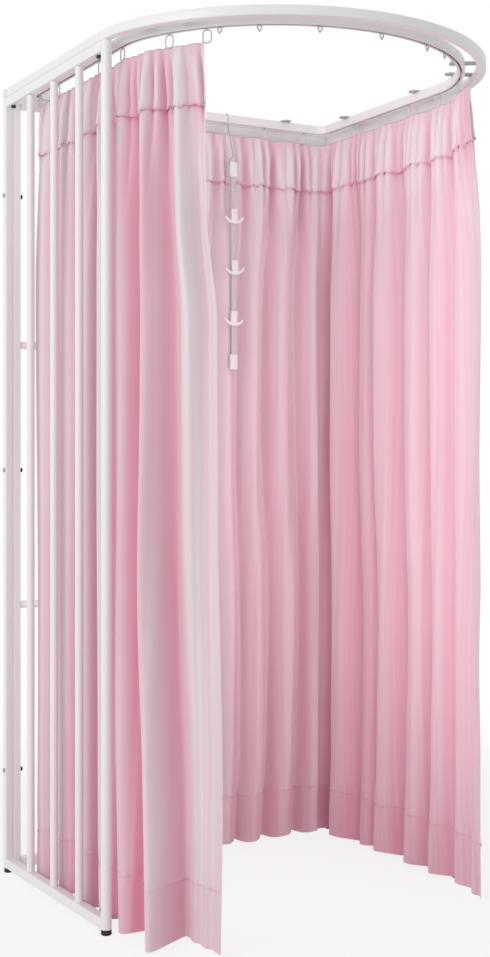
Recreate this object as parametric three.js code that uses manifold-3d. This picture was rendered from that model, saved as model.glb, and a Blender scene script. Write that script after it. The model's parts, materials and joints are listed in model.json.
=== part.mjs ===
// Portable fitting room: a bent ring on two barred side panels and a back panel,
// a curtain track hung inside the ring on link plates, and two curtains on gliders.
// Millimetres, +Z up, X to the right along the back, the round front towards -Y.
// The origin is on the floor, in the middle of the plan.
import * as THREE from 'three';
import { mergeVertices } from 'three/addons/utils/BufferGeometryUtils.js';
import Module from 'manifold-3d';

const wasm = await Module();
wasm.setup();

// Overall sizes
const height = 2000;
const width = 990;
const sideLength = 600;
const archRise = 430;
const shoulderRadius = 300;
const fit = 0.3;

// Ring tube
const ringTube = 22;
const ringWall = 1.2;
const ringChamfer = 2;

// Side panels and back panel
const frontPostAhead = 14;
const postDiameter = 24;
const rearPost = 20;
const rearPostChamfer = 1.5;
const postWall = 1.5;
const barDiameter = 19;
const barWall = 1.2;
const barCount = 3;
const panelRail = 24;
const panelRailWall = 1.2;
const panelRailChamfer = 1.5;
const midRailHeights = { lower: 683, upper: 1348 };

// Feet
const footDiameters = { rear: 20, front: 24 };
const footHeight = 12;
const footChamfer = 1.5;
const footStemDiameter = 8;
const footStemLength = 26;
const footInsertLength = 16;

// Curtain track
const trackSetback = 50;
const trackWidth = 18;
const trackHeight = 22;
const trackDrop = 4;
const trackWall = 1.6;
const trackSlot = 6;
const trackCornerRadius = 36;

// Link plates from the ring to the track
const plateWidth = 28;
const plateThickness = 3;
const plateOverhang = 20;
const plateSink = 1;
const plateBackX = 305;
const plateSideRearSetback = 192;
const plateSideFrontSetback = 82;
const plateCrownShares = [-0.972, -0.787, 0.787, 0.972];

// Gliders
const gliderHead = { across: 11, along: 8, tall: 6 };
const gliderSheet = 3;
const gliderStem = 4;
const eyeWidth = 13;
const eyeDrop = 12;
const eyeLine = 2.6;
const loopWidth = 20;
const loopLine = 2.6;
const loopStem = 7;
const freeGliderShares = [-0.668, -0.505, -0.261, 0.015, 0.282, 0.43, 0.519];

// Curtains
const curtainGap = 30;
const hemGap = 15;
const clothThickness = 5;
const foldDepth = 25;
const frontFlare = 50;
const flareReach = 90;
const curtainBackEnd = 400;
const curtainRearGap = 3;
const leftCurtainRearSetback = 100;
const curtainSplitAhead = 10;
const edgeOverhang = 12;
const leadShares = { left: -0.721, right: 0.769 };
const secondGliderShares = { left: -0.893, right: 0.95 };
const sideGliderSetbacks = [224, 347, 476];
const rightGliderSetbacks = [215, 470];
const backGliderXs = [-263, 245];

// Folds of each curtain from its rear end to its leading edge: how far along its line,
// and how far to the inside (positive) or the outside as a share of the fold depth
const leftFoldShares = [
  [0, 1], [0.073, -1], [0.166, 1], [0.254, -1], [0.338, 1], [0.419, -1], [0.483, 1], [0.543, -1],
  [0.603, 1], [0.669, -1], [0.728, 1], [0.788, -1], [0.854, 1], [0.918, -1], [0.967, 1], [1, -0.6],
];
const rightFoldShares = [
  [0, -1], [0.028, 1], [0.057, -1], [0.082, 1], [0.11, -1], [0.138, 1], [0.166, -1], [0.192, 1],
  [0.217, -1], [0.242, 1], [0.264, -1], [0.286, 1], [0.311, -1], [0.336, 1], [0.364, -1], [0.386, 1],
  [0.417, -1], [0.446, 1], [0.483, -1], [0.509, 1], [0.543, -1], [0.575, 1], [0.647, -1], [0.704, 1],
  [0.751, -1], [0.795, 1], [0.832, -1], [0.867, 1], [0.901, -1], [0.936, 1], [0.974, -1], [1, -1.5],
];

// Hook strip on the back track
const stripX = 124;
const stripClearance = 40;
const wireDiameter = 3;
const wireBend = 22;
const blockSize = { wide: 22, deep: 9, tall: 41 };
const blockTopDrop = 139;
const tapeWidth = 12;
const tapeThickness = 3;
const stripLength = 561;
const hookDrops = [137, 275, 413];
const hookSpan = 62;
const hookHub = { wide: 20, deep: 8, tall: 40 };
const pivotDrop = 10;
const hookArm = 7;
const hookRise = 14;
const hookTiltDegrees = [0, 4, -4];
const pivotDiameter = 6;
const pivotHead = 9.5;
const pivotHeadDepth = 1.5;

// Sizes worked out from the driving ones
const halfWidth = width / 2;
const depth = sideLength + archRise;
const backY = depth / 2;
const tangentY = backY - sideLength;
const crownRadius =
  ((halfWidth - shoulderRadius) ** 2 + archRise ** 2 - shoulderRadius ** 2) /
  (2 * (archRise - shoulderRadius));
const crownY = tangentY + crownRadius - archRise;
const crownAngle = Math.atan2(halfWidth - shoulderRadius, crownRadius - archRise);
const postRadius = postDiameter / 2;
const postX = halfWidth - postRadius;
const rearPostX = halfWidth - rearPost / 2;
const rearPostY = backY - rearPost / 2;
const frontPostY = tangentY - frontPostAhead;
const panelLength = rearPostY - frontPostY;
const backPostX = rearPostX - rearPost - fit;
const postBottom = footHeight + fit;
const postTop = height - ringTube - fit;
const topRailZ = postTop - panelRail / 2;
const bottomRailZ = postBottom + panelRail / 2;
const trackOffset = trackSetback + trackWidth / 2;
const trackTop = height - trackDrop;
const trackBottom = trackTop - trackHeight;
const curtainTop = trackBottom - curtainGap;
const curtainTurnY = backY - trackOffset - trackCornerRadius - curtainRearGap;
const curtainSplitY = tangentY - curtainSplitAhead;
const radians = THREE.MathUtils.degToRad;

// Counts that set how fine the faceted faces are
const roundSides = 16;
const barSides = 12;
const rodSides = 8;
const crownSteps = 24;
const shoulderSteps = 4;
const cornerSteps = 5;

// Materials
const finish = {
  white: { color: 0xeeedec, roughness: 0.38, metalness: 0.1 },
  track: { color: 0xe4e3e2, roughness: 0.45, metalness: 0.1 },
  clear: { color: 0xd9dcde, roughness: 0.3, metalness: 0 },
  hook: { color: 0xf2f2f1, roughness: 0.4, metalness: 0 },
  rubber: { color: 0x161616, roughness: 0.8, metalness: 0 },
  wire: { color: 0xa9abad, roughness: 0.3, metalness: 0.8 },
  cloth: { color: 0xe9c3d0, roughness: 0.95, metalness: 0 },
};

function named(name, geometry, look) {
  const mesh = new THREE.Mesh(geometry, new THREE.MeshStandardMaterial(finish[look]));
  mesh.name = name;
  return mesh;
}

// A closed geometry from vertices and triangles, turned outwards if it came inside out
function closedGeometry(vertices, triangles) {
  const point = (i) => new THREE.Vector3(...vertices[i]);
  let volume = 0;
  for (const [a, b, c] of triangles) {
    volume += point(a).dot(point(b).cross(point(c)));
  }
  const faces = volume < 0 ? triangles.map(([a, b, c]) => [a, c, b]) : triangles;
  const geometry = new THREE.BufferGeometry();
  geometry.setAttribute('position', new THREE.Float32BufferAttribute(vertices.flat(), 3));
  geometry.setIndex(faces.flat());
  return geometry;
}

// Booleans
function toManifold(geometry) {
  const bare = geometry.clone();
  bare.deleteAttribute('normal');
  bare.deleteAttribute('uv');
  const merged = mergeVertices(bare);
  const mesh = new wasm.Mesh({
    numProp: 3,
    vertProperties: new Float32Array(merged.attributes.position.array),
    triVerts: new Uint32Array(merged.index.array),
  });
  return new wasm.Manifold(mesh);
}

function fromManifold(solid) {
  const mesh = solid.getMesh();
  const geometry = new THREE.BufferGeometry();
  geometry.setAttribute('position', new THREE.BufferAttribute(mesh.vertProperties, 3));
  geometry.setIndex(new THREE.BufferAttribute(mesh.triVerts, 1));
  return geometry;
}

function joined(geometries) {
  const [first, ...rest] = geometries.map(toManifold);
  return fromManifold(rest.reduce((sum, solid) => sum.add(solid), first));
}

function cutBy(geometry, cutters) {
  const body = toManifold(geometry);
  return fromManifold(cutters.map(toManifold).reduce((left, cutter) => left.subtract(cutter), body));
}

// A profile of [inward, up] points, with holes, carried along plan frames
function sweep(contour, holes, frames) {
  const loops = [contour, ...holes];
  const flat = loops.flat();
  const vertices = [];
  for (const frame of frames) {
    for (const [inward, up] of flat) {
      vertices.push([frame.x + inward * frame.nx, frame.y + inward * frame.ny, up]);
    }
  }
  const triangles = [];
  const count = flat.length;
  for (let step = 0; step + 1 < frames.length; step += 1) {
    let start = 0;
    for (const loop of loops) {
      for (let i = 0; i < loop.length; i += 1) {
        const a = step * count + start + i;
        const b = step * count + start + ((i + 1) % loop.length);
        triangles.push([a, b, b + count], [a, b + count, a + count]);
      }
      start += loop.length;
    }
  }
  const asVectors = (loop) => loop.map(([x, y]) => new THREE.Vector2(x, y));
  const caps = THREE.ShapeUtils.triangulateShape(asVectors(contour), holes.map(asVectors));
  const last = (frames.length - 1) * count;
  for (const [a, b, c] of caps) {
    triangles.push([a, c, b], [a + last, b + last, c + last]);
  }
  return closedGeometry(vertices, triangles);
}

// Profiles
function boxLoop(wide, tall, chamfer, up) {
  const w = wide / 2;
  const h = tall / 2;
  if (chamfer === 0) {
    return [[-w, up - h], [w, up - h], [w, up + h], [-w, up + h]];
  }
  const c = chamfer;
  return [
    [-w + c, up - h], [w - c, up - h], [w, up - h + c], [w, up + h - c],
    [w - c, up + h], [-w + c, up + h], [-w, up + h - c], [-w, up - h + c],
  ];
}

function trackLoop() {
  const w = trackWidth / 2;
  const s = trackSlot / 2;
  const i = w - trackWall;
  const lip = trackBottom + trackWall;
  const roof = trackTop - trackWall;
  return [
    [-w, trackBottom], [-s, trackBottom], [-s, lip], [-i, lip], [-i, roof], [i, roof],
    [i, lip], [s, lip], [s, trackBottom], [w, trackBottom], [w, trackTop], [-w, trackTop],
  ];
}

// Plan frames: a point of the line at an offset inside the ring's outer face,
// with the direction that points inwards
function crownFrame(offset, angle) {
  const nx = -Math.sin(angle);
  const ny = Math.cos(angle);
  const reach = crownRadius - offset;
  return { x: -nx * reach, y: crownY - ny * reach, nx, ny };
}

function shoulderFrame(offset, side, share) {
  const turn = share * (Math.PI / 2 - crownAngle);
  const nx = -side * Math.cos(turn);
  const ny = Math.sin(turn);
  const reach = shoulderRadius - offset;
  return { x: side * (halfWidth - shoulderRadius) - nx * reach, y: tangentY - ny * reach, nx, ny };
}

function sideFrame(offset, side, y) {
  return { x: side * (halfWidth - offset), y, nx: -side, ny: 0 };
}

function backFrame(offset, x) {
  return { x, y: backY - offset, nx: 0, ny: -1 };
}

function cornerFrame(offset, radius, side, share) {
  const turn = (share * Math.PI) / 2;
  const nx = -side * Math.sin(turn);
  const ny = -Math.cos(turn);
  const cx = side * (halfWidth - offset - radius);
  return { x: cx - nx * radius, y: backY - offset - radius - ny * radius, nx, ny };
}

function shares(steps) {
  return Array.from({ length: steps + 1 }, (unused, i) => i / steps);
}

// The bent front line, from the left end of the straight side to the right one
function archFrames(offset) {
  const left = shares(shoulderSteps).map((share) => shoulderFrame(offset, -1, share));
  const crown = shares(crownSteps)
    .slice(1, -1)
    .map((share) => crownFrame(offset, crownAngle * (2 * share - 1)));
  const right = shares(shoulderSteps)
    .reverse()
    .map((share) => shoulderFrame(offset, 1, share));
  return [...left, ...crown, ...right];
}

// Tubes and posts
function upright(outer, wall, sides, low, high) {
  const profile = [
    new THREE.Vector2(outer / 2 - wall, low),
    new THREE.Vector2(outer / 2, low),
    new THREE.Vector2(outer / 2, high),
    new THREE.Vector2(outer / 2 - wall, high),
    new THREE.Vector2(outer / 2 - wall, low),
  ];
  return new THREE.LatheGeometry(profile, sides).rotateX(Math.PI / 2);
}

function squarePrism(size, chamfer, low, high) {
  const shape = new THREE.Shape(boxLoop(size, size, chamfer, 0).map(([x, y]) => new THREE.Vector2(x, y)));
  const prism = new THREE.ExtrudeGeometry(shape, { depth: high - low, bevelEnabled: false });
  return prism.translate(0, 0, low);
}

function squareUpright(innerLow) {
  const outer = squarePrism(rearPost, rearPostChamfer, postBottom, postTop);
  return cutBy(outer, [squarePrism(rearPost - 2 * postWall, 0, innerLow, height)]);
}

function footedSquarePost() {
  const bore = footStemDiameter / 2 + fit;
  const drill = new THREE.CylinderGeometry(bore, bore, height, roundSides).rotateX(Math.PI / 2);
  return cutBy(squareUpright(postBottom + footInsertLength), [drill]);
}

function footedRoundPost() {
  const bore = footStemDiameter / 2 + fit;
  const inner = postRadius - postWall;
  const insertTop = postBottom + footInsertLength;
  const profile = [
    new THREE.Vector2(bore, postBottom),
    new THREE.Vector2(postRadius, postBottom),
    new THREE.Vector2(postRadius, postTop),
    new THREE.Vector2(inner, postTop),
    new THREE.Vector2(inner, insertTop),
    new THREE.Vector2(bore, insertTop),
    new THREE.Vector2(bore, postBottom),
  ];
  return new THREE.LatheGeometry(profile, roundSides).rotateX(Math.PI / 2);
}

function postCutter(x, y) {
  const radius = postRadius + fit;
  const cutter = new THREE.CylinderGeometry(radius, radius, height, 2 * roundSides);
  return cutter.rotateX(Math.PI / 2).translate(x, y, height / 2);
}

function squareTube(frames, z) {
  const outer = boxLoop(panelRail, panelRail, panelRailChamfer, z);
  const inner = boxLoop(panelRail - 2 * panelRailWall, panelRail - 2 * panelRailWall, 0, z);
  return sweep(outer, [inner.reverse()], frames);
}

// Side panels: a square rear post, a round front post, two rails between them, and upright bars
function sidePanel(word, side) {
  const group = new THREE.Group();
  const rear = named(`${word}_rear_post`, footedSquarePost(), 'white');
  rear.position.set(side * rearPostX, rearPostY, 0);
  const front = named(`${word}_front_post`, footedRoundPost(), 'white');
  front.position.set(side * postX, frontPostY, 0);
  group.add(rear, front);
  const rearFace = rearPostY - rearPost / 2 - fit;
  const line = [rearFace, frontPostY].map((y) => sideFrame(postRadius, side, y));
  const cutters = [postCutter(side * postX, frontPostY)];
  const rails = { top_rail: topRailZ, bottom_rail: bottomRailZ };
  for (const [place, z] of Object.entries(rails)) {
    group.add(named(`${word}_${place}`, cutBy(squareTube(line, z), cutters), 'white'));
  }
  const low = bottomRailZ + panelRail / 2 + fit;
  const high = topRailZ - panelRail / 2 - fit;
  for (let i = 1; i <= barCount; i += 1) {
    const bar = named(`${word}_bar_${i}`, upright(barDiameter, barWall, barSides, low, high), 'white');
    bar.position.set(side * postX, rearPostY - (i * panelLength) / (barCount + 1), 0);
    group.add(bar);
  }
  return group;
}

// Back panel: two plain square posts beside the side panels' rear posts, and four cross rails
function backPanel() {
  const group = new THREE.Group();
  for (const [word, side] of [['left', -1], ['right', 1]]) {
    const post = named(`back_${word}_post`, squareUpright(-postBottom), 'white');
    post.position.set(side * backPostX, rearPostY, 0);
    group.add(post);
  }
  const reach = backPostX - rearPost / 2 - fit;
  const line = [-reach, reach].map((x) => backFrame(panelRail / 2, x));
  const rails = { back_top_rail: topRailZ, back_bottom_rail: bottomRailZ };
  for (const [name, z] of Object.entries(rails)) {
    group.add(named(name, squareTube(line, z), 'white'));
  }
  for (const [word, z] of Object.entries(midRailHeights)) {
    const tube = upright(barDiameter, barWall, barSides, -reach, reach).rotateY(Math.PI / 2);
    const rail = named(`back_mid_rail_${word}`, tube, 'white');
    rail.position.set(0, rearPostY, z);
    group.add(rail);
  }
  return group;
}

// Levelling feet: a pad with a stem that turns in the insert of its post
function feet() {
  const group = new THREE.Group();
  for (const [place, x, y] of [['rear', rearPostX, rearPostY], ['front', postX, frontPostY]]) {
    const r = footDiameters[place] / 2;
    const profile = [
      [0, 0], [r - footChamfer, 0], [r, footChamfer], [r, footHeight - footChamfer],
      [r - footChamfer, footHeight], [footStemDiameter / 2, footHeight],
      [footStemDiameter / 2, footHeight + footStemLength], [0, footHeight + footStemLength],
    ].map(([across, z]) => new THREE.Vector2(across, z));
    for (const [word, side] of [['left', -1], ['right', 1]]) {
      const shape = new THREE.LatheGeometry(profile, roundSides).rotateX(Math.PI / 2);
      const foot = named(`${word}_${place}_foot`, shape, 'rubber');
      foot.position.set(side * x, y, 0);
      group.add(foot);
    }
  }
  return group;
}

// Ring tube: a back piece, two side pieces and the bent front piece
function ringTubes() {
  const group = new THREE.Group();
  const z = height - ringTube / 2;
  const middle = ringTube / 2;
  const outer = boxLoop(ringTube, ringTube, ringChamfer, z);
  const inner = boxLoop(ringTube - 2 * ringWall, ringTube - 2 * ringWall, 0, z).reverse();
  const tube = (frames) => sweep(outer, [inner], frames);
  const back = [-halfWidth, halfWidth].map((x) => backFrame(middle, x));
  group.add(named('ring_tube_back', tube(back), 'white'));
  for (const [word, side] of [['left', -1], ['right', 1]]) {
    const ys = [backY - ringTube - fit, tangentY + fit];
    const frames = ys.map((y) => sideFrame(middle, side, y));
    group.add(named(`ring_tube_${word}`, tube(frames), 'white'));
  }
  group.add(named('ring_tube_front', tube(archFrames(middle)), 'white'));
  return group;
}

// Link plate in plan coordinates of its frame: from the ring's inner face over the track
function linkPlate(frame) {
  const start = ringTube + fit + frame.bow;
  const end = trackSetback + trackWidth + plateOverhang;
  const half = plateWidth / 2;
  const shape = new THREE.Shape();
  shape.moveTo(start, -half);
  shape.lineTo(end - half, -half);
  shape.absarc(end - half, 0, half, -Math.PI / 2, Math.PI / 2, false);
  shape.lineTo(start, half);
  const plate = new THREE.ExtrudeGeometry(shape, {
    depth: plateThickness, bevelEnabled: false, curveSegments: cornerSteps,
  });
  plate.rotateZ(Math.atan2(frame.ny, frame.nx));
  return plate.translate(frame.x, frame.y, trackTop - plateSink);
}

function trackWithPlates(name, frames, plateFrames) {
  const channel = sweep(trackLoop(), [], frames);
  return named(name, joined([channel, ...plateFrames.map(linkPlate)]), 'track');
}

// Curtain track: the same channel all round, open below, with its plates welded on
function track() {
  const group = new THREE.Group();
  const radius = trackCornerRadius;
  const cornerY = backY - trackOffset - radius;
  const left = shares(cornerSteps).reverse().map((share) => cornerFrame(trackOffset, radius, -1, share));
  const right = shares(cornerSteps).map((share) => cornerFrame(trackOffset, radius, 1, share));
  const backPlates = [-plateBackX, plateBackX].map((x) => ({ ...backFrame(0, x), bow: 0 }));
  group.add(trackWithPlates('track_back', [...left, ...right], backPlates));
  for (const [word, side] of [['left', -1], ['right', 1]]) {
    const frames = [cornerY - fit, tangentY + fit].map((y) => sideFrame(trackOffset, side, y));
    const plateYs = [tangentY + plateSideFrontSetback, backY - plateSideRearSetback];
    const plates = plateYs.map((y) => ({ ...sideFrame(0, side, y), bow: 0 }));
    group.add(trackWithPlates(`track_${word}`, frames, plates));
  }
  const bow = crownRadius * (1 - Math.cos(crownAngle / crownSteps)) + plateWidth ** 2 / (8 * crownRadius);
  const frontPlates = plateCrownShares.map((share) => ({ ...crownFrame(0, share * crownAngle), bow }));
  group.add(trackWithPlates('track_front', archFrames(trackOffset), frontPlates));
  return group;
}

// Gliders, drawn in the plane of the track and stood at a plan frame
function gliderOutline(points, hole) {
  const shape = new THREE.Shape(points.map(([x, z]) => new THREE.Vector2(x, z)));
  shape.holes.push(new THREE.Path(hole.map(([x, z]) => new THREE.Vector2(x, z))));
  const plate = new THREE.ExtrudeGeometry(shape, { depth: gliderSheet, bevelEnabled: false });
  return plate.translate(0, 0, -gliderSheet / 2).rotateX(Math.PI / 2);
}

function gliderHeadBox() {
  const low = trackBottom + trackWall + fit;
  const head = new THREE.BoxGeometry(gliderHead.along, gliderHead.across, gliderHead.tall);
  return head.translate(0, 0, low + gliderHead.tall / 2);
}

function freeGlider() {
  const stem = gliderStem / 2;
  const wide = eyeWidth / 2;
  const top = trackBottom + trackWall + gliderHead.tall / 2;
  const eyeTop = trackBottom - fit;
  const eyeLow = trackBottom - eyeDrop;
  const cheek = eyeTop - eyeLine;
  const outline = [
    [-stem, top], [-stem, eyeTop], [-wide, cheek], [-wide, cheek - eyeLine], [-eyeLine / 2, eyeLow],
    [eyeLine / 2, eyeLow], [wide, cheek - eyeLine], [wide, cheek], [stem, eyeTop], [stem, top],
  ];
  const hole = [
    [-wide + eyeLine, cheek - eyeLine / 2], [wide - eyeLine, cheek - eyeLine / 2],
    [0, eyeLow + 2 * eyeLine],
  ];
  return joined([gliderOutline(outline, hole), gliderHeadBox()]);
}

// A glider that carries cloth: a stem with a three-sided loop that ends on the curtain's top edge
function loopGlider() {
  const stem = gliderStem / 2;
  const wide = loopWidth / 2;
  const top = trackBottom + trackWall + gliderHead.tall / 2;
  const neck = trackBottom - loopStem;
  const low = curtainTop + fit;
  const outline = [
    [-stem, top], [-stem, neck], [-wide, low + loopLine / 2], [-wide, low],
    [wide, low], [wide, low + loopLine / 2], [stem, neck], [stem, top],
  ];
  const hole = [
    [-wide + 1.6 * loopLine, low + loopLine], [wide - 1.6 * loopLine, low + loopLine],
    [0, neck - 2 * loopLine],
  ];
  return joined([gliderOutline(outline, hole), gliderHeadBox()]);
}

function stand(name, shape, frame) {
  const mesh = named(name, shape, 'clear');
  mesh.position.set(frame.x, frame.y, 0);
  mesh.rotation.z = Math.atan2(frame.ny, frame.nx) - Math.PI / 2;
  return mesh;
}

function gliders() {
  const group = new THREE.Group();
  const free = freeGlider();
  const loop = loopGlider();
  freeGliderShares.forEach((share, i) => {
    group.add(stand(`free_glider_${i + 1}`, free, crownFrame(trackOffset, share * crownAngle)));
  });
  const moving = {
    left_lead_glider: leadShares.left,
    left_second_glider: secondGliderShares.left,
    right_lead_glider: leadShares.right,
    right_second_glider: secondGliderShares.right,
  };
  for (const [name, share] of Object.entries(moving)) {
    group.add(stand(name, loop, crownFrame(trackOffset, share * crownAngle)));
  }
  sideGliderSetbacks.forEach((setback, i) => {
    group.add(stand(`left_side_glider_${i + 1}`, loop, sideFrame(trackOffset, -1, backY - setback)));
  });
  rightGliderSetbacks.forEach((setback, i) => {
    group.add(stand(`right_side_glider_${i + 1}`, loop, sideFrame(trackOffset, 1, backY - setback)));
  });
  backGliderXs.forEach((x, i) => {
    group.add(stand(`back_glider_${i + 1}`, loop, backFrame(trackOffset, x)));
  });
  return group;
}

// Curtains: folded sheets under the track, each a stretch of its curtain's line.
// A line is a list of frames with their distance along it.
const levelShares = [0, 0.05, 0.14, 0.4, 0.7, 1];
const foldTopShare = 0.14;
const ridgeBreadthShare = 0.65;
const stepsPerFace = 4;

function withLengths(frames) {
  let along = 0;
  return frames.map((frame, i) => {
    if (i > 0) {
      along += Math.hypot(frame.x - frames[i - 1].x, frame.y - frames[i - 1].y);
    }
    return { ...frame, along };
  });
}

function lengthOf(line) {
  return line[line.length - 1].along;
}

// The frame at a distance along a line
function frameAt(line, along) {
  const k = Math.max(1, line.findIndex((frame) => frame.along >= along - fit));
  const [a, b] = [line[k - 1], line[k]];
  const t = (along - a.along) / (b.along - a.along);
  const mix = (p, q) => p + (q - p) * t;
  const n = Math.hypot(mix(a.nx, b.nx), mix(a.ny, b.ny));
  return { x: mix(a.x, b.x), y: mix(a.y, b.y), nx: mix(a.nx, b.nx) / n, ny: mix(a.ny, b.ny) / n, along };
}

// Distances at which a stretch is drawn: its ends and a few steps on each face of each fold
function drawnPlaces(folds, whole, from, to) {
  const places = [from];
  folds.slice(1).forEach(([end], i) => {
    const start = folds[i][0];
    for (let step = 0; step < stepsPerFace; step += 1) {
      const along = (start + ((end - start) * step) / stepsPerFace) * whole;
      if (along > from + clothThickness / 2 && along < to - clothThickness / 2) {
        places.push(along);
      }
    }
  });
  return [...places, to];
}

// How far inside the line the cloth's middle is, as a share of the fold depth: the fold places
// joined by half cosine waves, with the inner ridges broader than the outer ones
function foldWave(folds, share, ridgeShare) {
  const k = Math.max(1, folds.findIndex(([end]) => end >= share));
  const [a, b] = [folds[k - 1], folds[k]];
  const t = (1 - Math.cos((Math.PI * (share - a[0])) / (b[0] - a[0]))) / 2;
  const wave = a[1] + (b[1] - a[1]) * t;
  return Math.abs(wave) > 1 ? wave : 2 * ((1 + wave) / 2) ** ridgeShare - 1;
}

function foldShare(level) {
  const ease = Math.min(1, level / levelShares[3]);
  return foldTopShare + (1 - foldTopShare) * Math.sin((ease * Math.PI) / 2);
}

// A stretch of curtain: its line, from where to where along it, its folds and its flare at the hem
function curtain(name, { line, from, to, folds, ridgeShare, flare }) {
  const whole = lengthOf(line);
  const columns = drawnPlaces(folds, whole, from, to).map((along) => {
    return { ...frameAt(line, along), wave: foldWave(folds, along / whole, ridgeShare) };
  });
  const vertices = [];
  for (const halfCloth of [-clothThickness / 2, clothThickness / 2]) {
    for (const level of levelShares) {
      const z = curtainTop - level * (curtainTop - hemGap);
      for (const { x, y, nx, ny, along, wave } of columns) {
        const out = flare * level * Math.min(1, (along - from) / flareReach);
        const inward = foldDepth * foldShare(level) * wave - out + halfCloth;
        vertices.push([x + inward * nx, y + inward * ny, z]);
      }
    }
  }
  return named(name, closedGeometry(vertices, sheetTriangles(columns.length)), 'cloth');
}

// Triangles of two faces of a grid, with the four edges closed
function sheetTriangles(across) {
  const rows = levelShares.length;
  const at = (face, row, column) => (face * rows + row) * across + column;
  const triangles = [];
  const quad = (a, b, c, d) => triangles.push([a, b, c], [a, c, d]);
  for (let row = 0; row + 1 < rows; row += 1) {
    for (let i = 0; i + 1 < across; i += 1) {
      quad(at(0, row, i), at(0, row, i + 1), at(0, row + 1, i + 1), at(0, row + 1, i));
      quad(at(1, row, i), at(1, row + 1, i), at(1, row + 1, i + 1), at(1, row, i + 1));
    }
    quad(at(0, row, 0), at(0, row + 1, 0), at(1, row + 1, 0), at(1, row, 0));
    const end = across - 1;
    quad(at(0, row, end), at(1, row, end), at(1, row + 1, end), at(0, row + 1, end));
  }
  for (let i = 0; i + 1 < across; i += 1) {
    quad(at(0, 0, i), at(1, 0, i), at(1, 0, i + 1), at(0, 0, i + 1));
    quad(at(0, rows - 1, i), at(0, rows - 1, i + 1), at(1, rows - 1, i + 1), at(1, rows - 1, i));
  }
  return triangles;
}

// The track's middle line on the bent front, from the straight side's end to a leading edge
function frontLine(side, leadShare) {
  const angle = leadShare * crownAngle - (side * edgeOverhang) / (crownRadius - trackOffset);
  const shoulder = shares(shoulderSteps).map((share) => shoulderFrame(trackOffset, side, share));
  const crown = shares(cornerSteps)
    .slice(1)
    .map((share) => crownFrame(trackOffset, side * crownAngle + share * (angle - side * crownAngle)));
  return [...shoulder, ...crown];
}

// The line of the right curtain on the back and round the rear corner
function backLine() {
  const corner = shares(cornerSteps).map((share) => {
    return cornerFrame(trackOffset, trackCornerRadius, 1, share);
  });
  return [backFrame(trackOffset, -curtainBackEnd), ...corner];
}

function curtains() {
  const group = new THREE.Group();
  const leftRear = backY - leftCurtainRearSetback;
  const leftLine = withLengths([sideFrame(trackOffset, -1, leftRear), ...frontLine(-1, leadShares.left)]);
  const rightLine = withLengths([...backLine(), ...frontLine(1, leadShares.right)]);
  const leftSplit = leftRear - curtainSplitY;
  const turn = lengthOf(withLengths(backLine())) + curtainRearGap;
  const rightSplit = turn + curtainTurnY - curtainSplitY;
  const half = fit / 2;
  const left = { line: leftLine, folds: leftFoldShares, ridgeShare: 1, flare: 0 };
  const right = { line: rightLine, folds: rightFoldShares, ridgeShare: ridgeBreadthShare, flare: 0 };
  const leftEnds = [0, leftSplit, lengthOf(leftLine)];
  const rightEnds = [0, turn, rightSplit, lengthOf(rightLine)];
  const stretch = (ends, i) => ({ from: ends[i] + half, to: ends[i + 1] - half });
  group.add(curtain('left_curtain_side', { ...left, ...stretch(leftEnds, 0) }));
  group.add(curtain('left_curtain_front', { ...left, ...stretch(leftEnds, 1), flare: frontFlare }));
  group.add(curtain('right_curtain_back', { ...right, ...stretch(rightEnds, 0) }));
  group.add(curtain('right_curtain_side', { ...right, ...stretch(rightEnds, 1) }));
  group.add(curtain('right_curtain_front', { ...right, ...stretch(rightEnds, 2) }));
  return group;
}

// Hook strip: a bent wire over the back track, a tape with end blocks, and swivelling cross hooks
const stripY = backY - trackOffset - stripClearance;
const blockTop = height - blockTopDrop;
const wireAxisZ = blockTop - wireDiameter * 2;
const tapeBottom = blockTop - stripLength;

// A round bar through points, closed flat at both ends
function bentRod(points, radius, sides) {
  const path = points.map((p) => new THREE.Vector3(...p));
  const steps = path.slice(1).map((p, i) => p.clone().sub(path[i]).normalize());
  const aims = path.map((p, i) => {
    const before = steps[Math.max(i - 1, 0)];
    const after = steps[Math.min(i, steps.length - 1)];
    return before.clone().add(after).normalize();
  });
  let across = new THREE.Vector3(1, 0, 0);
  const vertices = [];
  const triangles = [];
  path.forEach((p, k) => {
    across = across.clone().addScaledVector(aims[k], -across.dot(aims[k])).normalize();
    const other = new THREE.Vector3().crossVectors(aims[k], across);
    for (let i = 0; i < sides; i += 1) {
      const turn = (2 * Math.PI * i) / sides;
      const v = p.clone().addScaledVector(across, radius * Math.cos(turn));
      vertices.push(v.addScaledVector(other, radius * Math.sin(turn)).toArray());
      if (k > 0) {
        const a = (k - 1) * sides + i;
        const b = (k - 1) * sides + ((i + 1) % sides);
        triangles.push([a, b, b + sides], [a, b + sides, a + sides]);
      }
    }
  });
  const last = (path.length - 1) * sides;
  for (let i = 1; i + 1 < sides; i += 1) {
    triangles.push([0, i + 1, i], [last, last + i, last + i + 1]);
  }
  return closedGeometry(vertices, triangles);
}

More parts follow.
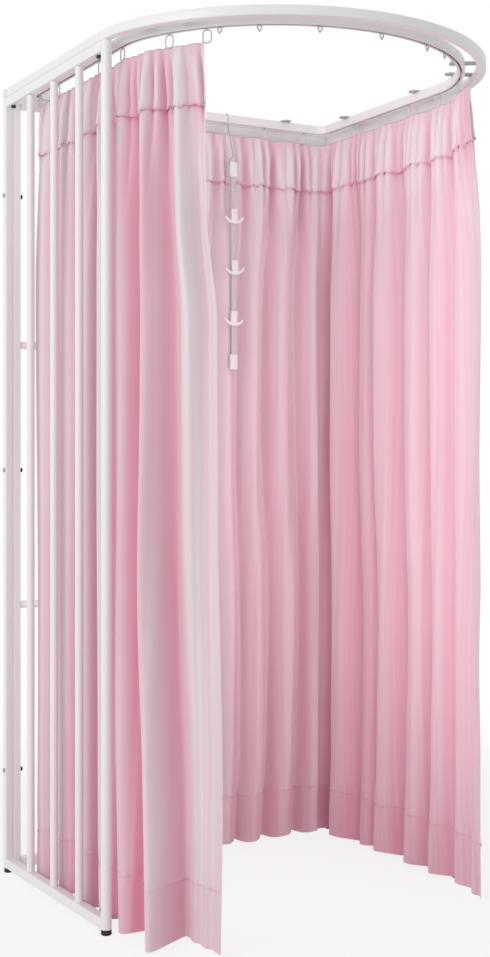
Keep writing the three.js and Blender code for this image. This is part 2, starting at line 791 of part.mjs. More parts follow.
function wireHook() {
  const r = wireDiameter / 2;
  const away = r + fit;
  const outerFace = backY - trackSetback;
  const innerFace = outerFace - trackWidth;
  const slant = away * Math.SQRT1_2;
  const jog = blockSize.wide / 2 + away;
  const shoulder = blockTop + wireDiameter;
  const wire = bentRod([
    [0, outerFace + away, trackTop - trackHeight / 2],
    [0, outerFace + away, trackTop],
    [0, outerFace + slant, trackTop + slant],
    [0, outerFace, trackTop + away],
    [0, innerFace, trackTop + away],
    [0, innerFace - slant, trackTop + slant],
    [0, innerFace - away, trackTop],
    [0, innerFace - away, trackBottom],
    [0, stripY, trackBottom - wireBend],
    [0, stripY, shoulder + wireBend],
    [-jog, stripY, shoulder],
    [-jog, stripY, wireAxisZ],
    [jog, stripY, wireAxisZ],
  ], r, rodSides);
  const mesh = named('strip_wire_hook', wire, 'wire');
  mesh.position.set(stripX, 0, 0);
  return mesh;
}

function roundAlongY(diameter, length, y, z) {
  const rod = new THREE.CylinderGeometry(diameter / 2, diameter / 2, length, barSides);
  return rod.translate(0, y, z);
}

const hubFront = stripY - tapeThickness / 2 - fit - hookHub.deep;

function stripTape() {
  const { wide, deep, tall } = blockSize;
  const top = new THREE.BoxGeometry(wide, deep, tall).translate(0, stripY, blockTop - tall / 2);
  const end = new THREE.BoxGeometry(wide, deep, tall).translate(0, stripY, tapeBottom + tall / 2);
  const length = blockTop - tapeBottom - tall;
  const middle = (blockTop + tapeBottom) / 2;
  const tape = new THREE.BoxGeometry(tapeWidth, tapeThickness, length).translate(0, stripY, middle);
  const pieces = [top, end, tape];
  const pivotLength = hookHub.deep + 2 * fit + pivotHeadDepth + tapeThickness / 2;
  hookDrops.forEach((drop) => {
    const z = blockTop - drop;
    pieces.push(roundAlongY(pivotDiameter, pivotLength, stripY - pivotLength / 2, z));
    const headY = hubFront - fit - pivotHeadDepth / 2;
    pieces.push(roundAlongY(pivotHead, pivotHeadDepth, headY, z));
  });
  const bore = wireDiameter + 2 * fit;
  const drill = new THREE.CylinderGeometry(bore / 2, bore / 2, 2 * wide, barSides);
  drill.rotateZ(Math.PI / 2).translate(0, stripY, wireAxisZ);
  const mesh = named('hook_strip_tape', cutBy(joined(pieces), [drill]), 'hook');
  mesh.position.set(stripX, 0, 0);
  return mesh;
}

// A hub with two arms that curve up from its foot like a smile, drawn from the front
function crossHook(i) {
  const half = hookHub.wide / 2;
  const span = hookSpan / 2;
  const arm = hookArm / 2;
  const top = hookHub.tall - arm;
  const pivot = top - pivotDrop;
  const shape = new THREE.Shape();
  shape.moveTo(-half, -arm);
  shape.lineTo(half, -arm);
  shape.quadraticCurveTo(span - arm, -arm, span, hookRise);
  shape.lineTo(span - arm, hookRise + arm);
  shape.quadraticCurveTo(span - 2 * arm, arm, half, arm);
  shape.lineTo(half, top);
  shape.lineTo(-half, top);
  shape.lineTo(-half, arm);
  shape.quadraticCurveTo(-span + 2 * arm, arm, -span + arm, hookRise + arm);
  shape.lineTo(-span, hookRise);
  shape.quadraticCurveTo(-span + arm, -arm, -half, -arm);
  const bore = new THREE.Path();
  bore.absarc(0, pivot, pivotDiameter / 2 + fit, 0, 2 * Math.PI, true);
  shape.holes.push(bore);
  const plate = new THREE.ExtrudeGeometry(shape, {
    depth: hookHub.deep, bevelEnabled: false, curveSegments: 5,
  });
  plate.rotateX(Math.PI / 2).translate(0, 0, -pivot);
  const mesh = named(`cross_hook_${i}`, plate.rotateY(-radians(hookTiltDegrees[i - 1])), 'hook');
  mesh.position.set(stripX, hubFront + hookHub.deep, blockTop - hookDrops[i - 1]);
  return mesh;
}

function hookStrip() {
  const group = new THREE.Group();
  group.add(wireHook(), stripTape());
  hookDrops.forEach((drop, k) => group.add(crossHook(k + 1)));
  return group;
}

const fittingRoom = new THREE.Group();
fittingRoom.add(sidePanel('left', -1), sidePanel('right', 1), backPanel(), feet());
fittingRoom.add(ringTubes(), track(), gliders(), curtains(), hookStrip());

export default fittingRoom;
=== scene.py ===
"""Portable fitting room: a bent ring on barred panels, a curtain track with its rings, two
curtains and a strip of clothes hooks.

Metres, +Z up, +X to the right along the back panel, the bent front and the doorway towards -Y.
The origin is on the floor in the middle of the plan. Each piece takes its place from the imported
frame's boxes and from the sizes named in its own class.
"""

import json
import logging
import math
from dataclasses import astuple, dataclass
from enum import Enum

import bpy
import numpy as np
from numpy.typing import NDArray
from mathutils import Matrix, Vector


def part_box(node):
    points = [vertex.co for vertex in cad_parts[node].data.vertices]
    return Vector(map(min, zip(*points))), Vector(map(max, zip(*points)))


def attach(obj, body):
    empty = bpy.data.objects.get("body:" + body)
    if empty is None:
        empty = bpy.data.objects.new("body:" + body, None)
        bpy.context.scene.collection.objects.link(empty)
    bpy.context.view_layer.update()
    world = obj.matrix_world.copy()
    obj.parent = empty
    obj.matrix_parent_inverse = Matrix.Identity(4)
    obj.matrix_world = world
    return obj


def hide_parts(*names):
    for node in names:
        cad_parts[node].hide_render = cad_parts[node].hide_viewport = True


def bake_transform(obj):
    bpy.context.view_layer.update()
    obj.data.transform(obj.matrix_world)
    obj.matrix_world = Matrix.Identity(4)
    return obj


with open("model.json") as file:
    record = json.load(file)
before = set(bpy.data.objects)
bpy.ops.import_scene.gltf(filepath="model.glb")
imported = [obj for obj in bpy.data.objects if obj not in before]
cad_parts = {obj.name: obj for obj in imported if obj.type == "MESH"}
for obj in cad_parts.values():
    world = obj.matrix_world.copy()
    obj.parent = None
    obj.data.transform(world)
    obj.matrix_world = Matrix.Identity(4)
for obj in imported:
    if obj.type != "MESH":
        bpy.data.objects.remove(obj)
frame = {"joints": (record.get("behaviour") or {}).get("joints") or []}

Array = NDArray[np.float64]
Point = tuple[float, float, float]
Knots = list[tuple[float, float]]
Value = float | tuple[float, ...] | bpy.types.NodeSocket
LOG = logging.getLogger("fitting_room")
FRAME_BODY = "frame"
LEFT, RIGHT = -1, 1
WORDS = {LEFT: "left", RIGHT: "right"}


class Slot(Enum):
    """Material slots of the part's record."""

    PAINT = "painted_white"
    TRACK = "track_white"
    CLEAR = "clear_plastic"
    HOOK = "hook_plastic"
    RUBBER = "foot_rubber"
    WIRE = "hook_wire"
    CLOTH = "curtain_cloth"


class Axis(Enum):
    """Directions that a turned piece may stand along, as (axis, first side, second side)."""

    X = ((1, 0, 0), (0, 1, 0), (0, 0, 1))
    Y = ((0, 1, 0), (0, 0, 1), (1, 0, 0))
    Z = ((0, 0, 1), (1, 0, 0), (0, 1, 0))


# Meshes


def grid_quads(rows: int, columns: int, closed: bool = False) -> NDArray[np.int64]:
    """Quads between neighbouring points of a grid stored row by row.

    Args:
        rows: Number of rows of points.
        columns: Number of points in a row.
        closed: True where the last point of a row meets its first one.

    Returns:
        An (n, 4) array of vertex numbers.
    """
    steps = columns if closed else columns - 1
    row, column = np.meshgrid(np.arange(rows - 1), np.arange(steps), indexing="ij")
    following = (column + 1) % columns
    here, there = row * columns, (row + 1) * columns
    quads = np.stack([here + column, here + following, there + following, there + column], axis=-1)
    return quads.reshape(-1, 4)


@dataclass
class Shell:
    """Points and faces of a mesh in the making, with an optional (u, v) for each point."""

    points: Array
    faces: list[NDArray[np.int64]]
    uv: Array | None = None

    def merged(self, *others: "Shell") -> "Shell":
        """This shell and others as one list of points and faces.

        Args:
            *others: The other shells.

        Returns:
            One shell, without UV.
        """
        points, faces, start = [self.points], list(self.faces), len(self.points)
        for other in others:
            points.append(other.points)
            faces += [face + start for face in other.faces]
            start += len(other.points)
        return Shell(np.concatenate(points), faces)

    def volume(self) -> float:
        """Signed volume inside the faces, each cut into a fan of triangles.

        Returns:
            Six times the volume, negative where the faces point in.
        """
        total = 0.0
        for face in self.faces:
            first = self.points[face[:, 0]]
            for k in range(1, face.shape[1] - 1):
                second, third = self.points[face[:, k]], self.points[face[:, k + 1]]
                total += float(np.einsum("ij,ij->", first, np.cross(second, third)))
        return total

    def outward(self) -> "Shell":
        """The same closed shell with its faces turned to point out.

        Returns:
            This shell, or a turned copy.
        """
        if self.volume() < 0:
            return Shell(self.points, [face[:, ::-1] for face in self.faces], self.uv)
        return self


def object_from(name: str, shell: Shell, sharp_degrees: float = 32.0) -> bpy.types.Object:
    """A linked object with the shell as its mesh, smooth but for edges sharper than an angle.

    Args:
        name: Name of the object and its mesh.
        shell: Points and faces in room coordinates.
        sharp_degrees: Edges that turn more than this stay sharp.

    Returns:
        The object, at the origin.
    """
    mesh = bpy.data.meshes.new(name)
    corners = np.concatenate([face.ravel() for face in shell.faces]).astype(np.int32)
    sizes = np.concatenate([np.full(len(face), face.shape[1]) for face in shell.faces])
    starts = np.concatenate([[0], np.cumsum(sizes)[:-1]]).astype(np.int32)
    mesh.vertices.add(len(shell.points))
    mesh.vertices.foreach_set("co", shell.points.astype(np.float32).ravel())
    mesh.loops.add(len(corners))
    mesh.loops.foreach_set("vertex_index", corners)
    mesh.polygons.add(len(sizes))
    mesh.polygons.foreach_set("loop_start", starts)
    if shell.uv is not None:
        layer = mesh.uv_layers.new(name="cloth")
        layer.data.foreach_set("uv", shell.uv[corners].astype(np.float32).ravel())
    mesh.update(calc_edges=True)
    mesh.validate()
    mesh.shade_smooth()
    mesh.set_sharp_from_angle(angle=math.radians(sharp_degrees))
    obj = bpy.data.objects.new(name, mesh)
    bpy.context.scene.collection.objects.link(obj)
    return obj


def rounded_outline(wide: float, tall: float, radius: float, steps: int = 5) -> Array:
    """Outline of a rectangle with round corners: four quarter circles, one after the other.

    Args:
        wide: Width across the first direction.
        tall: Height across the second direction.
        radius: Corner radius.
        steps: Steps in each quarter circle.

    Returns:
        (4 * (steps + 1), 2) points, counterclockwise round the middle.
    """
    corner = np.repeat(np.arange(4), steps + 1)
    turn = np.tile(np.linspace(0, np.pi / 2, steps + 1), 4) + corner * np.pi / 2
    side = np.array([[1, 1], [-1, 1], [-1, -1], [1, -1]])[corner]
    centre = side * np.array([wide / 2 - radius, tall / 2 - radius])
    return centre + radius * np.stack([np.cos(turn), np.sin(turn)], axis=1)


def lofted(rings: Array) -> Shell:
    """A closed shell through rings of points, with a flat cap at each end.

    Args:
        rings: (rings, points, 3) array; each ring is one closed outline.

    Returns:
        The shell, with its faces outward.
    """
    count, size, _ = rings.shape
    last = (count - 1) * size
    caps = [np.arange(size)[None, ::-1], last + np.arange(size)[None, :]]
    return Shell(rings.reshape(-1, 3), [grid_quads(count, size, closed=True), *caps]).outward()


def turned(profile: Array, centre: Point, axis: Axis, sides: int = 48) -> Shell:
    """A turned solid: each profile point [radius, height] goes once round the axis.

    Args:
        profile: (n, 2) radii and heights; no radius is zero, the ends are capped flat.
        centre: The point of the axis from which heights are measured.
        axis: The direction of the axis.
        sides: Points round each ring.

    Returns:
        The shell.
    """
    along, first, second = (np.array(v, dtype=float) for v in axis.value)
    turn = np.linspace(0, 2 * np.pi, sides, endpoint=False)
    round_it = np.cos(turn)[:, None] * first + np.sin(turn)[:, None] * second
    rings = profile[:, 0, None, None] * round_it[None] + profile[:, 1, None, None] * along
    return lofted(rings + np.array(centre))


def bar_along(path: Array, outline: Array, reference: Point, size: Array | None = None,
              closed: bool = False) -> Shell:
    """A bar of one outline carried along a path.

    At each point the outline lies square to the path: its first direction is the part of the
    reference that is square to the path, its second the cross product of the path and the first.

    Args:
        path: (n, 3) points.
        outline: (m, 2) points of the section.
        reference: A direction that the path never runs along.
        size: Optional scale of the outline at each path point.
        closed: True where the path's last point runs on into its first.

    Returns:
        The shell.
    """
    if closed:
        aim = np.roll(path, -1, axis=0) - np.roll(path, 1, axis=0)
    else:
        aim = np.gradient(path, axis=0)
    aim /= np.linalg.norm(aim, axis=1, keepdims=True)
    across = np.array(reference, dtype=float) - (aim @ np.array(reference, dtype=float))[:, None] * aim
    across /= np.linalg.norm(across, axis=1, keepdims=True)
    other = np.cross(aim, across)
    scale = np.ones(len(path)) if size is None else size
    section = scale[:, None, None] * outline[None]
    rings = path[:, None] + section[..., :1] * across[:, None] + section[..., 1:] * other[:, None]
    if not closed:
        return lofted(rings)
    rings = np.concatenate([rings, rings[:1]])
    count, sides = rings.shape[:2]
    quads = grid_quads(count, sides, closed=True) % ((count - 1) * sides)
    return Shell(rings[:-1].reshape(-1, 3), [quads]).outward()


def circle(radius: float, sides: int = 16) -> Array:
    """Points evenly round a circle about zero."""
    turn = np.linspace(0, 2 * np.pi, sides, endpoint=False)
    return radius * np.stack([np.cos(turn), np.sin(turn)], axis=1)


def bent_path(points: list[Point], radius: float, steps: int = 6) -> Array:
    """A path through straight runs with its inner corners rounded.

    Each corner is the quadratic curve between the points one radius before and after it.

    Args:
        points: Corners of the path and its two ends.
        radius: How far before and after a corner the rounding reaches.
        steps: Steps in each corner.

    Returns:
        (n, 3) points.
    """
    corners = np.array(points, dtype=float)
    share = np.linspace(0, 1, steps + 1)[:, None]
    pieces = [corners[:1]]
    for before, corner, after in zip(corners[:-2], corners[1:-1], corners[2:]):
        back, on = before - corner, after - corner
        start = corner + back * min(radius / np.linalg.norm(back), 0.5)
        end = corner + on * min(radius / np.linalg.norm(on), 0.5)
        pieces.append((1 - share) ** 2 * start + 2 * share * (1 - share) * corner + share**2 * end)
    return np.concatenate([*pieces, corners[-1:]])


def rounded_block(low: Array, high: Array, radius: float) -> Shell:
    """A block with rounded upright edges and chamfered top and bottom edges.

    Args:
        low: Lowest corner.
        high: Highest corner.
        radius: Rounding of the upright edges.

    Returns:
        The closed shell.
    """
    middle, size = (low + high) / 2, high - low
    outline = rounded_outline(size[0], size[1], radius)
    inner = outline * (1 - radius / size[:2])
    heights = [low[2], low[2] + radius / 2, high[2] - radius / 2, high[2]]
    rings = [np.column_stack([plan + middle[:2], np.full(len(plan), z)])
             for plan, z in zip([inner, outline, outline, inner], heights)]
    return lofted(np.stack(rings))


def drift(where: Array, pitch: float, seed: int, waves: int = 5) -> Array:
    """A smooth seeded wander between about -1 and 1: the mean of sines near one pitch.

    Args:
        where: Places at which it is wanted.
        pitch: Typical length of a wave, in the unit of the places.
        seed: Seed of the pitches and phases.
        waves: How many sines are added.

    Returns:
        The wander at each place.
    """
    chance = np.random.default_rng(seed)
    pitches = pitch * chance.uniform(0.6, 1.7, waves)
    phases = chance.uniform(0, 2 * np.pi, waves)
    sines = np.sin(2 * np.pi * where[..., None] / pitches + phases)
    return sines.sum(axis=-1) / math.sqrt(waves)


def eased(where: Array, knots: Knots) -> Array:
    """A value between knots [place, value], with a half cosine wave from each knot to the next.

    Args:
        where: Places at which it is wanted.
        knots: Places and values, in the order of the places.

    Returns:
        The value at each place.
    """
    places, values = np.array(knots).T
    after = np.clip(np.searchsorted(places, where), 1, len(places) - 1)
    share = np.clip((where - places[after - 1]) / (places[after] - places[after - 1]), 0, 1)
    return values[after - 1] + (values[after] - values[after - 1]) * (1 - np.cos(np.pi * share)) / 2


def smooth_step(share: Array) -> Array:
    """0 up to share 0, 1 from share 1, and a smooth cubic between."""
    held = np.clip(share, 0, 1)
    return held * held * (3 - 2 * held)


# Finishes


PAINTED_LIGHT = "bloom"  # the cloth's attribute of painted light and shade: high for painted highlights, low for painted shade


def linear(red: int, green: int, blue: int) -> tuple[float, float, float, float]:
    """A display colour of 0 to 255 a channel as the linear colour that shaders take.

    Args:
        red: Red, 0 to 255.
        green: Green, 0 to 255.
        blue: Blue, 0 to 255.

    Returns:
        Red, green, blue and an alpha of 1.
    """
    share = np.array([red, green, blue]) / 255
    bent = np.where(share <= 0.04045, share / 12.92, ((share + 0.055) / 1.055) ** 2.4)
    return (*(float(v) for v in bent), 1.0)


class Tree:
    """A node tree with short calls to add nodes and to join their sockets."""

    def __init__(self, tree: bpy.types.NodeTree) -> None:
        """Keeps the tree that nodes are added to."""
        self.tree = tree

    def feed(self, node: bpy.types.Node, name: str | int, value: Value) -> None:
        """Joins an output socket to a node's input, or sets the input to a value.

        Args:
            node: The node.
            name: Name or number of its input.
            value: The socket or the value.
        """
        if isinstance(value, bpy.types.NodeSocket):
            self.tree.links.new(value, node.inputs[name])
        else:
            node.inputs[name].default_value = value

    def add(self, kind: str, inputs: dict[str | int, Value] | None = None, **settings) -> bpy.types.Node:
        """A new node with its settings, and its inputs set or joined.

        Args:
            kind: The node's type name.
            inputs: Values or output sockets by input name or number.
            **settings: Attributes of the node, set before its inputs.

        Returns:
            The node.
        """
        node = self.tree.nodes.new(kind)
        for name, value in settings.items():
            setattr(node, name, value)
        for name, value in (inputs or {}).items():
            self.feed(node, name, value)
        return node

    def math(self, operation: str, first: Value, second: Value, clamp: bool = False) -> bpy.types.NodeSocket:
        """The output of a Math node on two values or sockets."""
        node = self.add("ShaderNodeMath", {0: first, 1: second}, operation=operation, use_clamp=clamp)
        return node.outputs[0]

    def above(self, value: Value, level: float, gain: float) -> bpy.types.NodeSocket:
        """How far a value is above a level, times a gain, within 0 and 1."""
        return self.math("MULTIPLY", self.math("SUBTRACT", value, level), gain, clamp=True)

    def blend(self, share: Value, first: Value, second: Value) -> bpy.types.NodeSocket:
        """A colour between two colours or colour sockets, by a share."""
        return self.add("ShaderNodeMix", {0: share, 6: first, 7: second}, data_type="RGBA").outputs[2]

    def seen_directly(self) -> bpy.types.NodeSocket:
        """1 for rays from the camera, a gloss or a clear body, 0 for those that carry light.

        Returns:
            The output socket.
        """
        path = self.add("ShaderNodeLightPath").outputs
        either = self.math("MAXIMUM", path["Is Camera Ray"], path["Is Glossy Ray"])
        return self.math("MAXIMUM", either, path["Is Transmission Ray"])


class Effects:
    """Shader node groups that several finishes share, each built once."""

    SLOW_SWELL = 0.13
    TURN_GAIN = 6.0
    WEAR_LEVEL, WEAR_GAIN = 0.42, 5.0
    UP_LEVEL, UP_GAIN = 0.35, 1.6
    WEFT_HEIGHT = 0.6
    SLUB_SCALE = (260.0, 7.0, 1.0)

    def __init__(self) -> None:
        """Builds the four groups."""
        self.peel = self._peel()
        self.wear = self._wear()
        self.dust = self._dust()
        self.weave = self._weave()

    @staticmethod
    def _group(name: str, inputs: dict[str, float], outputs: list[str]) -> tuple[Tree, dict, bpy.types.Node]:
        """An empty group with its sockets.

        Args:
            name: The group's name.
            inputs: Input names and their usual values.
            outputs: Output names.

        Returns:
            Its tree, its input sockets by name, and its output node.
        """
        group = bpy.data.node_groups.new(name, "ShaderNodeTree")
        for label, value in inputs.items():
            socket = group.interface.new_socket(label, in_out="INPUT", socket_type="NodeSocketFloat")
            socket.default_value = value
        for label in outputs:
            group.interface.new_socket(label, in_out="OUTPUT", socket_type="NodeSocketFloat")
        tree = Tree(group)
        source = tree.add("NodeGroupInput")
        result = tree.add("NodeGroupOutput")
        return tree, {label: source.outputs[label] for label in inputs}, result

    def _peel(self) -> bpy.types.NodeTree:
        """Orange peel of sprayed powder: fine noise with a slower swell under it.

        Returns:
            The group.
        """
        tree, given, result = self._group("fine_peel", {"Scale": 900.0}, ["Height"])
        place = tree.add("ShaderNodeTexCoord").outputs["Object"]
        slow_scale = tree.math("MULTIPLY", given["Scale"], self.SLOW_SWELL)
        fine = tree.add("ShaderNodeTexNoise", {"Vector": place, "Scale": given["Scale"], "Detail": 2.0})
        slow = tree.add("ShaderNodeTexNoise", {"Vector": place, "Scale": slow_scale, "Detail": 1.0})
        both = tree.math("ADD", fine.outputs["Fac"], slow.outputs["Fac"])
        tree.feed(result, "Height", tree.math("MULTIPLY", both, 0.5))
        return tree.tree

    def _wear(self) -> bpy.types.NodeTree:
        """Edge wear: where the surface turns within a small radius, broken up by noise.

        Returns:
            The group.
        """
        usual = {"Radius": 0.0015, "Breakup": 60.0, "Amount": 0.6}
        tree, given, result = self._group("edge_wear", usual, ["Mask"])
        bevel = tree.add("ShaderNodeBevel", {"Radius": given["Radius"]}, samples=4)
        flat = tree.add("ShaderNodeNewGeometry")
        dot = tree.add("ShaderNodeVectorMath", {0: bevel.outputs[0], 1: flat.outputs["Normal"]},
                       operation="DOT_PRODUCT")
        turned_by = tree.math("SUBTRACT", 1.0, dot.outputs["Value"])
        turn = tree.math("MULTIPLY", turned_by, self.TURN_GAIN, clamp=True)
        place = tree.add("ShaderNodeTexCoord").outputs["Object"]
        noise = tree.add("ShaderNodeTexNoise", {"Vector": place, "Scale": given["Breakup"], "Detail": 4.0})
        broken = tree.above(noise.outputs["Fac"], self.WEAR_LEVEL, self.WEAR_GAIN)
        mask = tree.math("MULTIPLY", tree.math("MULTIPLY", turn, broken), given["Amount"], clamp=True)
        tree.feed(result, "Mask", mask)
        return tree.tree

    def _dust(self) -> bpy.types.NodeTree:
        """Dust: on faces that look up, in soft patches.

        Returns:
            The group.
        """
        tree, given, result = self._group("settled_dust", {"Scale": 9.0, "Amount": 0.3}, ["Mask"])
        facing = tree.add("ShaderNodeNewGeometry").outputs["Normal"]
        upward = tree.add("ShaderNodeSeparateXYZ", {0: facing}).outputs["Z"]
        place = tree.add("ShaderNodeTexCoord").outputs["Object"]
        noise = tree.add("ShaderNodeTexNoise", {"Vector": place, "Scale": given["Scale"], "Detail": 6.0})
        lying = tree.math("MULTIPLY", tree.above(upward, self.UP_LEVEL, self.UP_GAIN), noise.outputs["Fac"])
        tree.feed(result, "Mask", tree.math("MULTIPLY", lying, given["Amount"], clamp=True))
        return tree.tree

    def _weave(self) -> bpy.types.NodeTree:
        """Satin weave on the cloth's UV in metres: crossing threads, and slubs down the cloth.

        Returns:
            The group.
        """
        tree, given, result = self._group("satin_weave", {"Threads": 2600.0}, ["Height", "Slub"])
        place = tree.add("ShaderNodeUVMap", uv_map="cloth").outputs["UV"]
        scaled = tree.add("ShaderNodeVectorMath", {0: place, 3: given["Threads"]}, operation="SCALE")
        axes = tree.add("ShaderNodeSeparateXYZ", {0: scaled.outputs[0]}).outputs
        warp, weft = (tree.math("SINE", axes[name], 0.0) for name in "XY")
        thread = tree.math("MAXIMUM", warp, tree.math("MULTIPLY", weft, self.WEFT_HEIGHT))
        stretched = tree.add("ShaderNodeMapping", {"Vector": place, "Scale": self.SLUB_SCALE}).outputs[0]
        slub = tree.add("ShaderNodeTexNoise", {"Vector": stretched, "Scale": 1.0, "Detail": 3.0})
        tree.feed(result, "Height", thread)
        tree.feed(result, "Slub", slub.outputs["Fac"])
        return tree.tree


@dataclass(frozen=True)
class Paint:
    """Sprayed and baked coating, or moulded plastic, with fine peel, worn edges and dust."""

    name: str
    slot: Slot
    colour: tuple[int, int, int]
    worn_colour: tuple[int, int, int]
    roughness: float = 0.38
    metallic: float = 0.0
    peel_scale: float = 900.0
    peel_depth: float = 0.00003
    peel_strength: float = 0.6
    wear: float = 0.45
    worn_roughness: float = 0.2
    dust: float = 0.25
    dust_colour: tuple[int, int, int] = (214, 209, 200)
    dust_roughness: float = 0.4
    cloud_scale: float = 5.0
    cloud_tone: float = 0.05
    cloud_roughness: float = 0.08
    coat: float = 0.0
    coat_roughness: float = 0.12
    transmission: float = 0.0

    def build(self, effects: Effects) -> bpy.types.Material:
        """The material: colour by wear and dust masks, roughness varied by both, peel as bump.

        Args:
            effects: The shared node groups.

        Returns:
            The material.
        """
        material = bpy.data.materials.new(self.name)
        material.use_nodes = True
        tree = Tree(material.node_tree)
        shader = material.node_tree.nodes["Principled BSDF"]
        wear = tree.add("ShaderNodeGroup", node_tree=effects.wear)
        dust = tree.add("ShaderNodeGroup", node_tree=effects.dust)
        peel = tree.add("ShaderNodeGroup", node_tree=effects.peel)
        tree.feed(wear, "Amount", self.wear)
        tree.feed(dust, "Amount", self.dust)
        tree.feed(peel, "Scale", self.peel_scale)
        place = tree.add("ShaderNodeTexCoord").outputs["Object"]
        noise = {"Vector": place, "Scale": self.cloud_scale, "Detail": 3.0}
        cloud = tree.add("ShaderNodeTexNoise", noise).outputs["Fac"]
        tone = tree.math("MULTIPLY", cloud, self.cloud_tone)
        base = tree.blend(tone, linear(*self.colour), linear(*self.worn_colour))
        worn = tree.blend(wear.outputs["Mask"], base, linear(*self.worn_colour))
        dusty = tree.blend(dust.outputs["Mask"], worn, linear(*self.dust_colour))
        rough = tree.math("ADD", tree.math("MULTIPLY", dust.outputs["Mask"], self.dust_roughness),
                          tree.math("MULTIPLY", wear.outputs["Mask"], self.worn_roughness))
        rough = tree.math("ADD", rough, tree.math("MULTIPLY", cloud, self.cloud_roughness))
        bump = tree.add("ShaderNodeBump", {"Height": peel.outputs["Height"], "Distance": self.peel_depth,
                                           "Strength": self.peel_strength})
        sockets = {
            "Base Color": dusty,
            "Roughness": tree.math("ADD", rough, self.roughness - self.cloud_roughness / 2),
            "Normal": bump.outputs[0],
            "Metallic": self.metallic,
            "Coat Weight": self.coat,
            "Coat Roughness": self.coat_roughness,
            "Transmission Weight": self.transmission,
        }
        for name, value in sockets.items():
            tree.feed(shader, name, value)
        return material


@dataclass(frozen=True)
class Satin:
    """Soft satin of the curtains: pink, a pale sheen at grazing angles, painted highlight and shade, a fine
    weave.
    """

    name: str = "pink_satin"
    slot: Slot = Slot.CLOTH
    # colour is the pale of painted highlights and sheen, shade_pink the pink of painted shade; the cloth's
    # own pink lies between
    colour: tuple[int, int, int] = (239, 227, 231)
    shade_pink: tuple[int, int, int] = (229, 146, 173)
    colour_change: float = 0.14
    cloud_scale: float = 3.0
    roughness: float = 0.60
    slub_roughness: float = 0.12
    thread_depth: float = 0.00004
    thread_strength: float = 0.35
    sheen: float = 0.6
    sheen_roughness: float = 0.7
    specular: float = 0.6

    def build(self, effects: Effects) -> bpy.types.Material:
        """The material: colour by the painted light and shade attribute, slubs and slow clouds, threads as
        bump, sheen set plain.

        Args:
            effects: The shared node groups.

        Returns:
            The material.
        """
        material = bpy.data.materials.new(self.name)
        material.use_nodes = True
        tree = Tree(material.node_tree)
        shader = material.node_tree.nodes["Principled BSDF"]
        weave = tree.add("ShaderNodeGroup", node_tree=effects.weave)
        place = tree.add("ShaderNodeTexCoord").outputs["Object"]
        noise = {"Vector": place, "Scale": self.cloud_scale, "Detail": 3.0}
        cloud = tree.add("ShaderNodeTexNoise", noise).outputs["Fac"]
        # painted light and shade stored on the cloth: it blends the base colour from painted shade to painted
        # highlight
        bloom = tree.add("ShaderNodeAttribute", attribute_name=PAINTED_LIGHT).outputs["Fac"]
        vary = tree.math("MULTIPLY", tree.math("ADD", weave.outputs["Slub"], cloud), self.colour_change)
        share = tree.math("ADD", bloom, tree.math("SUBTRACT", vary, self.colour_change), clamp=True)
        slub = tree.math("MULTIPLY", weave.outputs["Slub"], self.slub_roughness)
        bump = tree.add("ShaderNodeBump", {"Height": weave.outputs["Height"], "Distance": self.thread_depth,
                                           "Strength": self.thread_strength})
        sockets = {
            "Base Color": tree.blend(share, linear(*self.shade_pink), linear(*self.colour)),
            "Roughness": tree.math("ADD", slub, self.roughness - self.slub_roughness / 2),
            "Normal": bump.outputs[0],
            "Sheen Weight": self.sheen,
            "Sheen Roughness": self.sheen_roughness,
            "Sheen Tint": (1.0, 1.0, 1.0, 1.0),
            "Specular IOR Level": self.specular,
        }
        for name, value in sockets.items():
            tree.feed(shader, name, value)
        return material


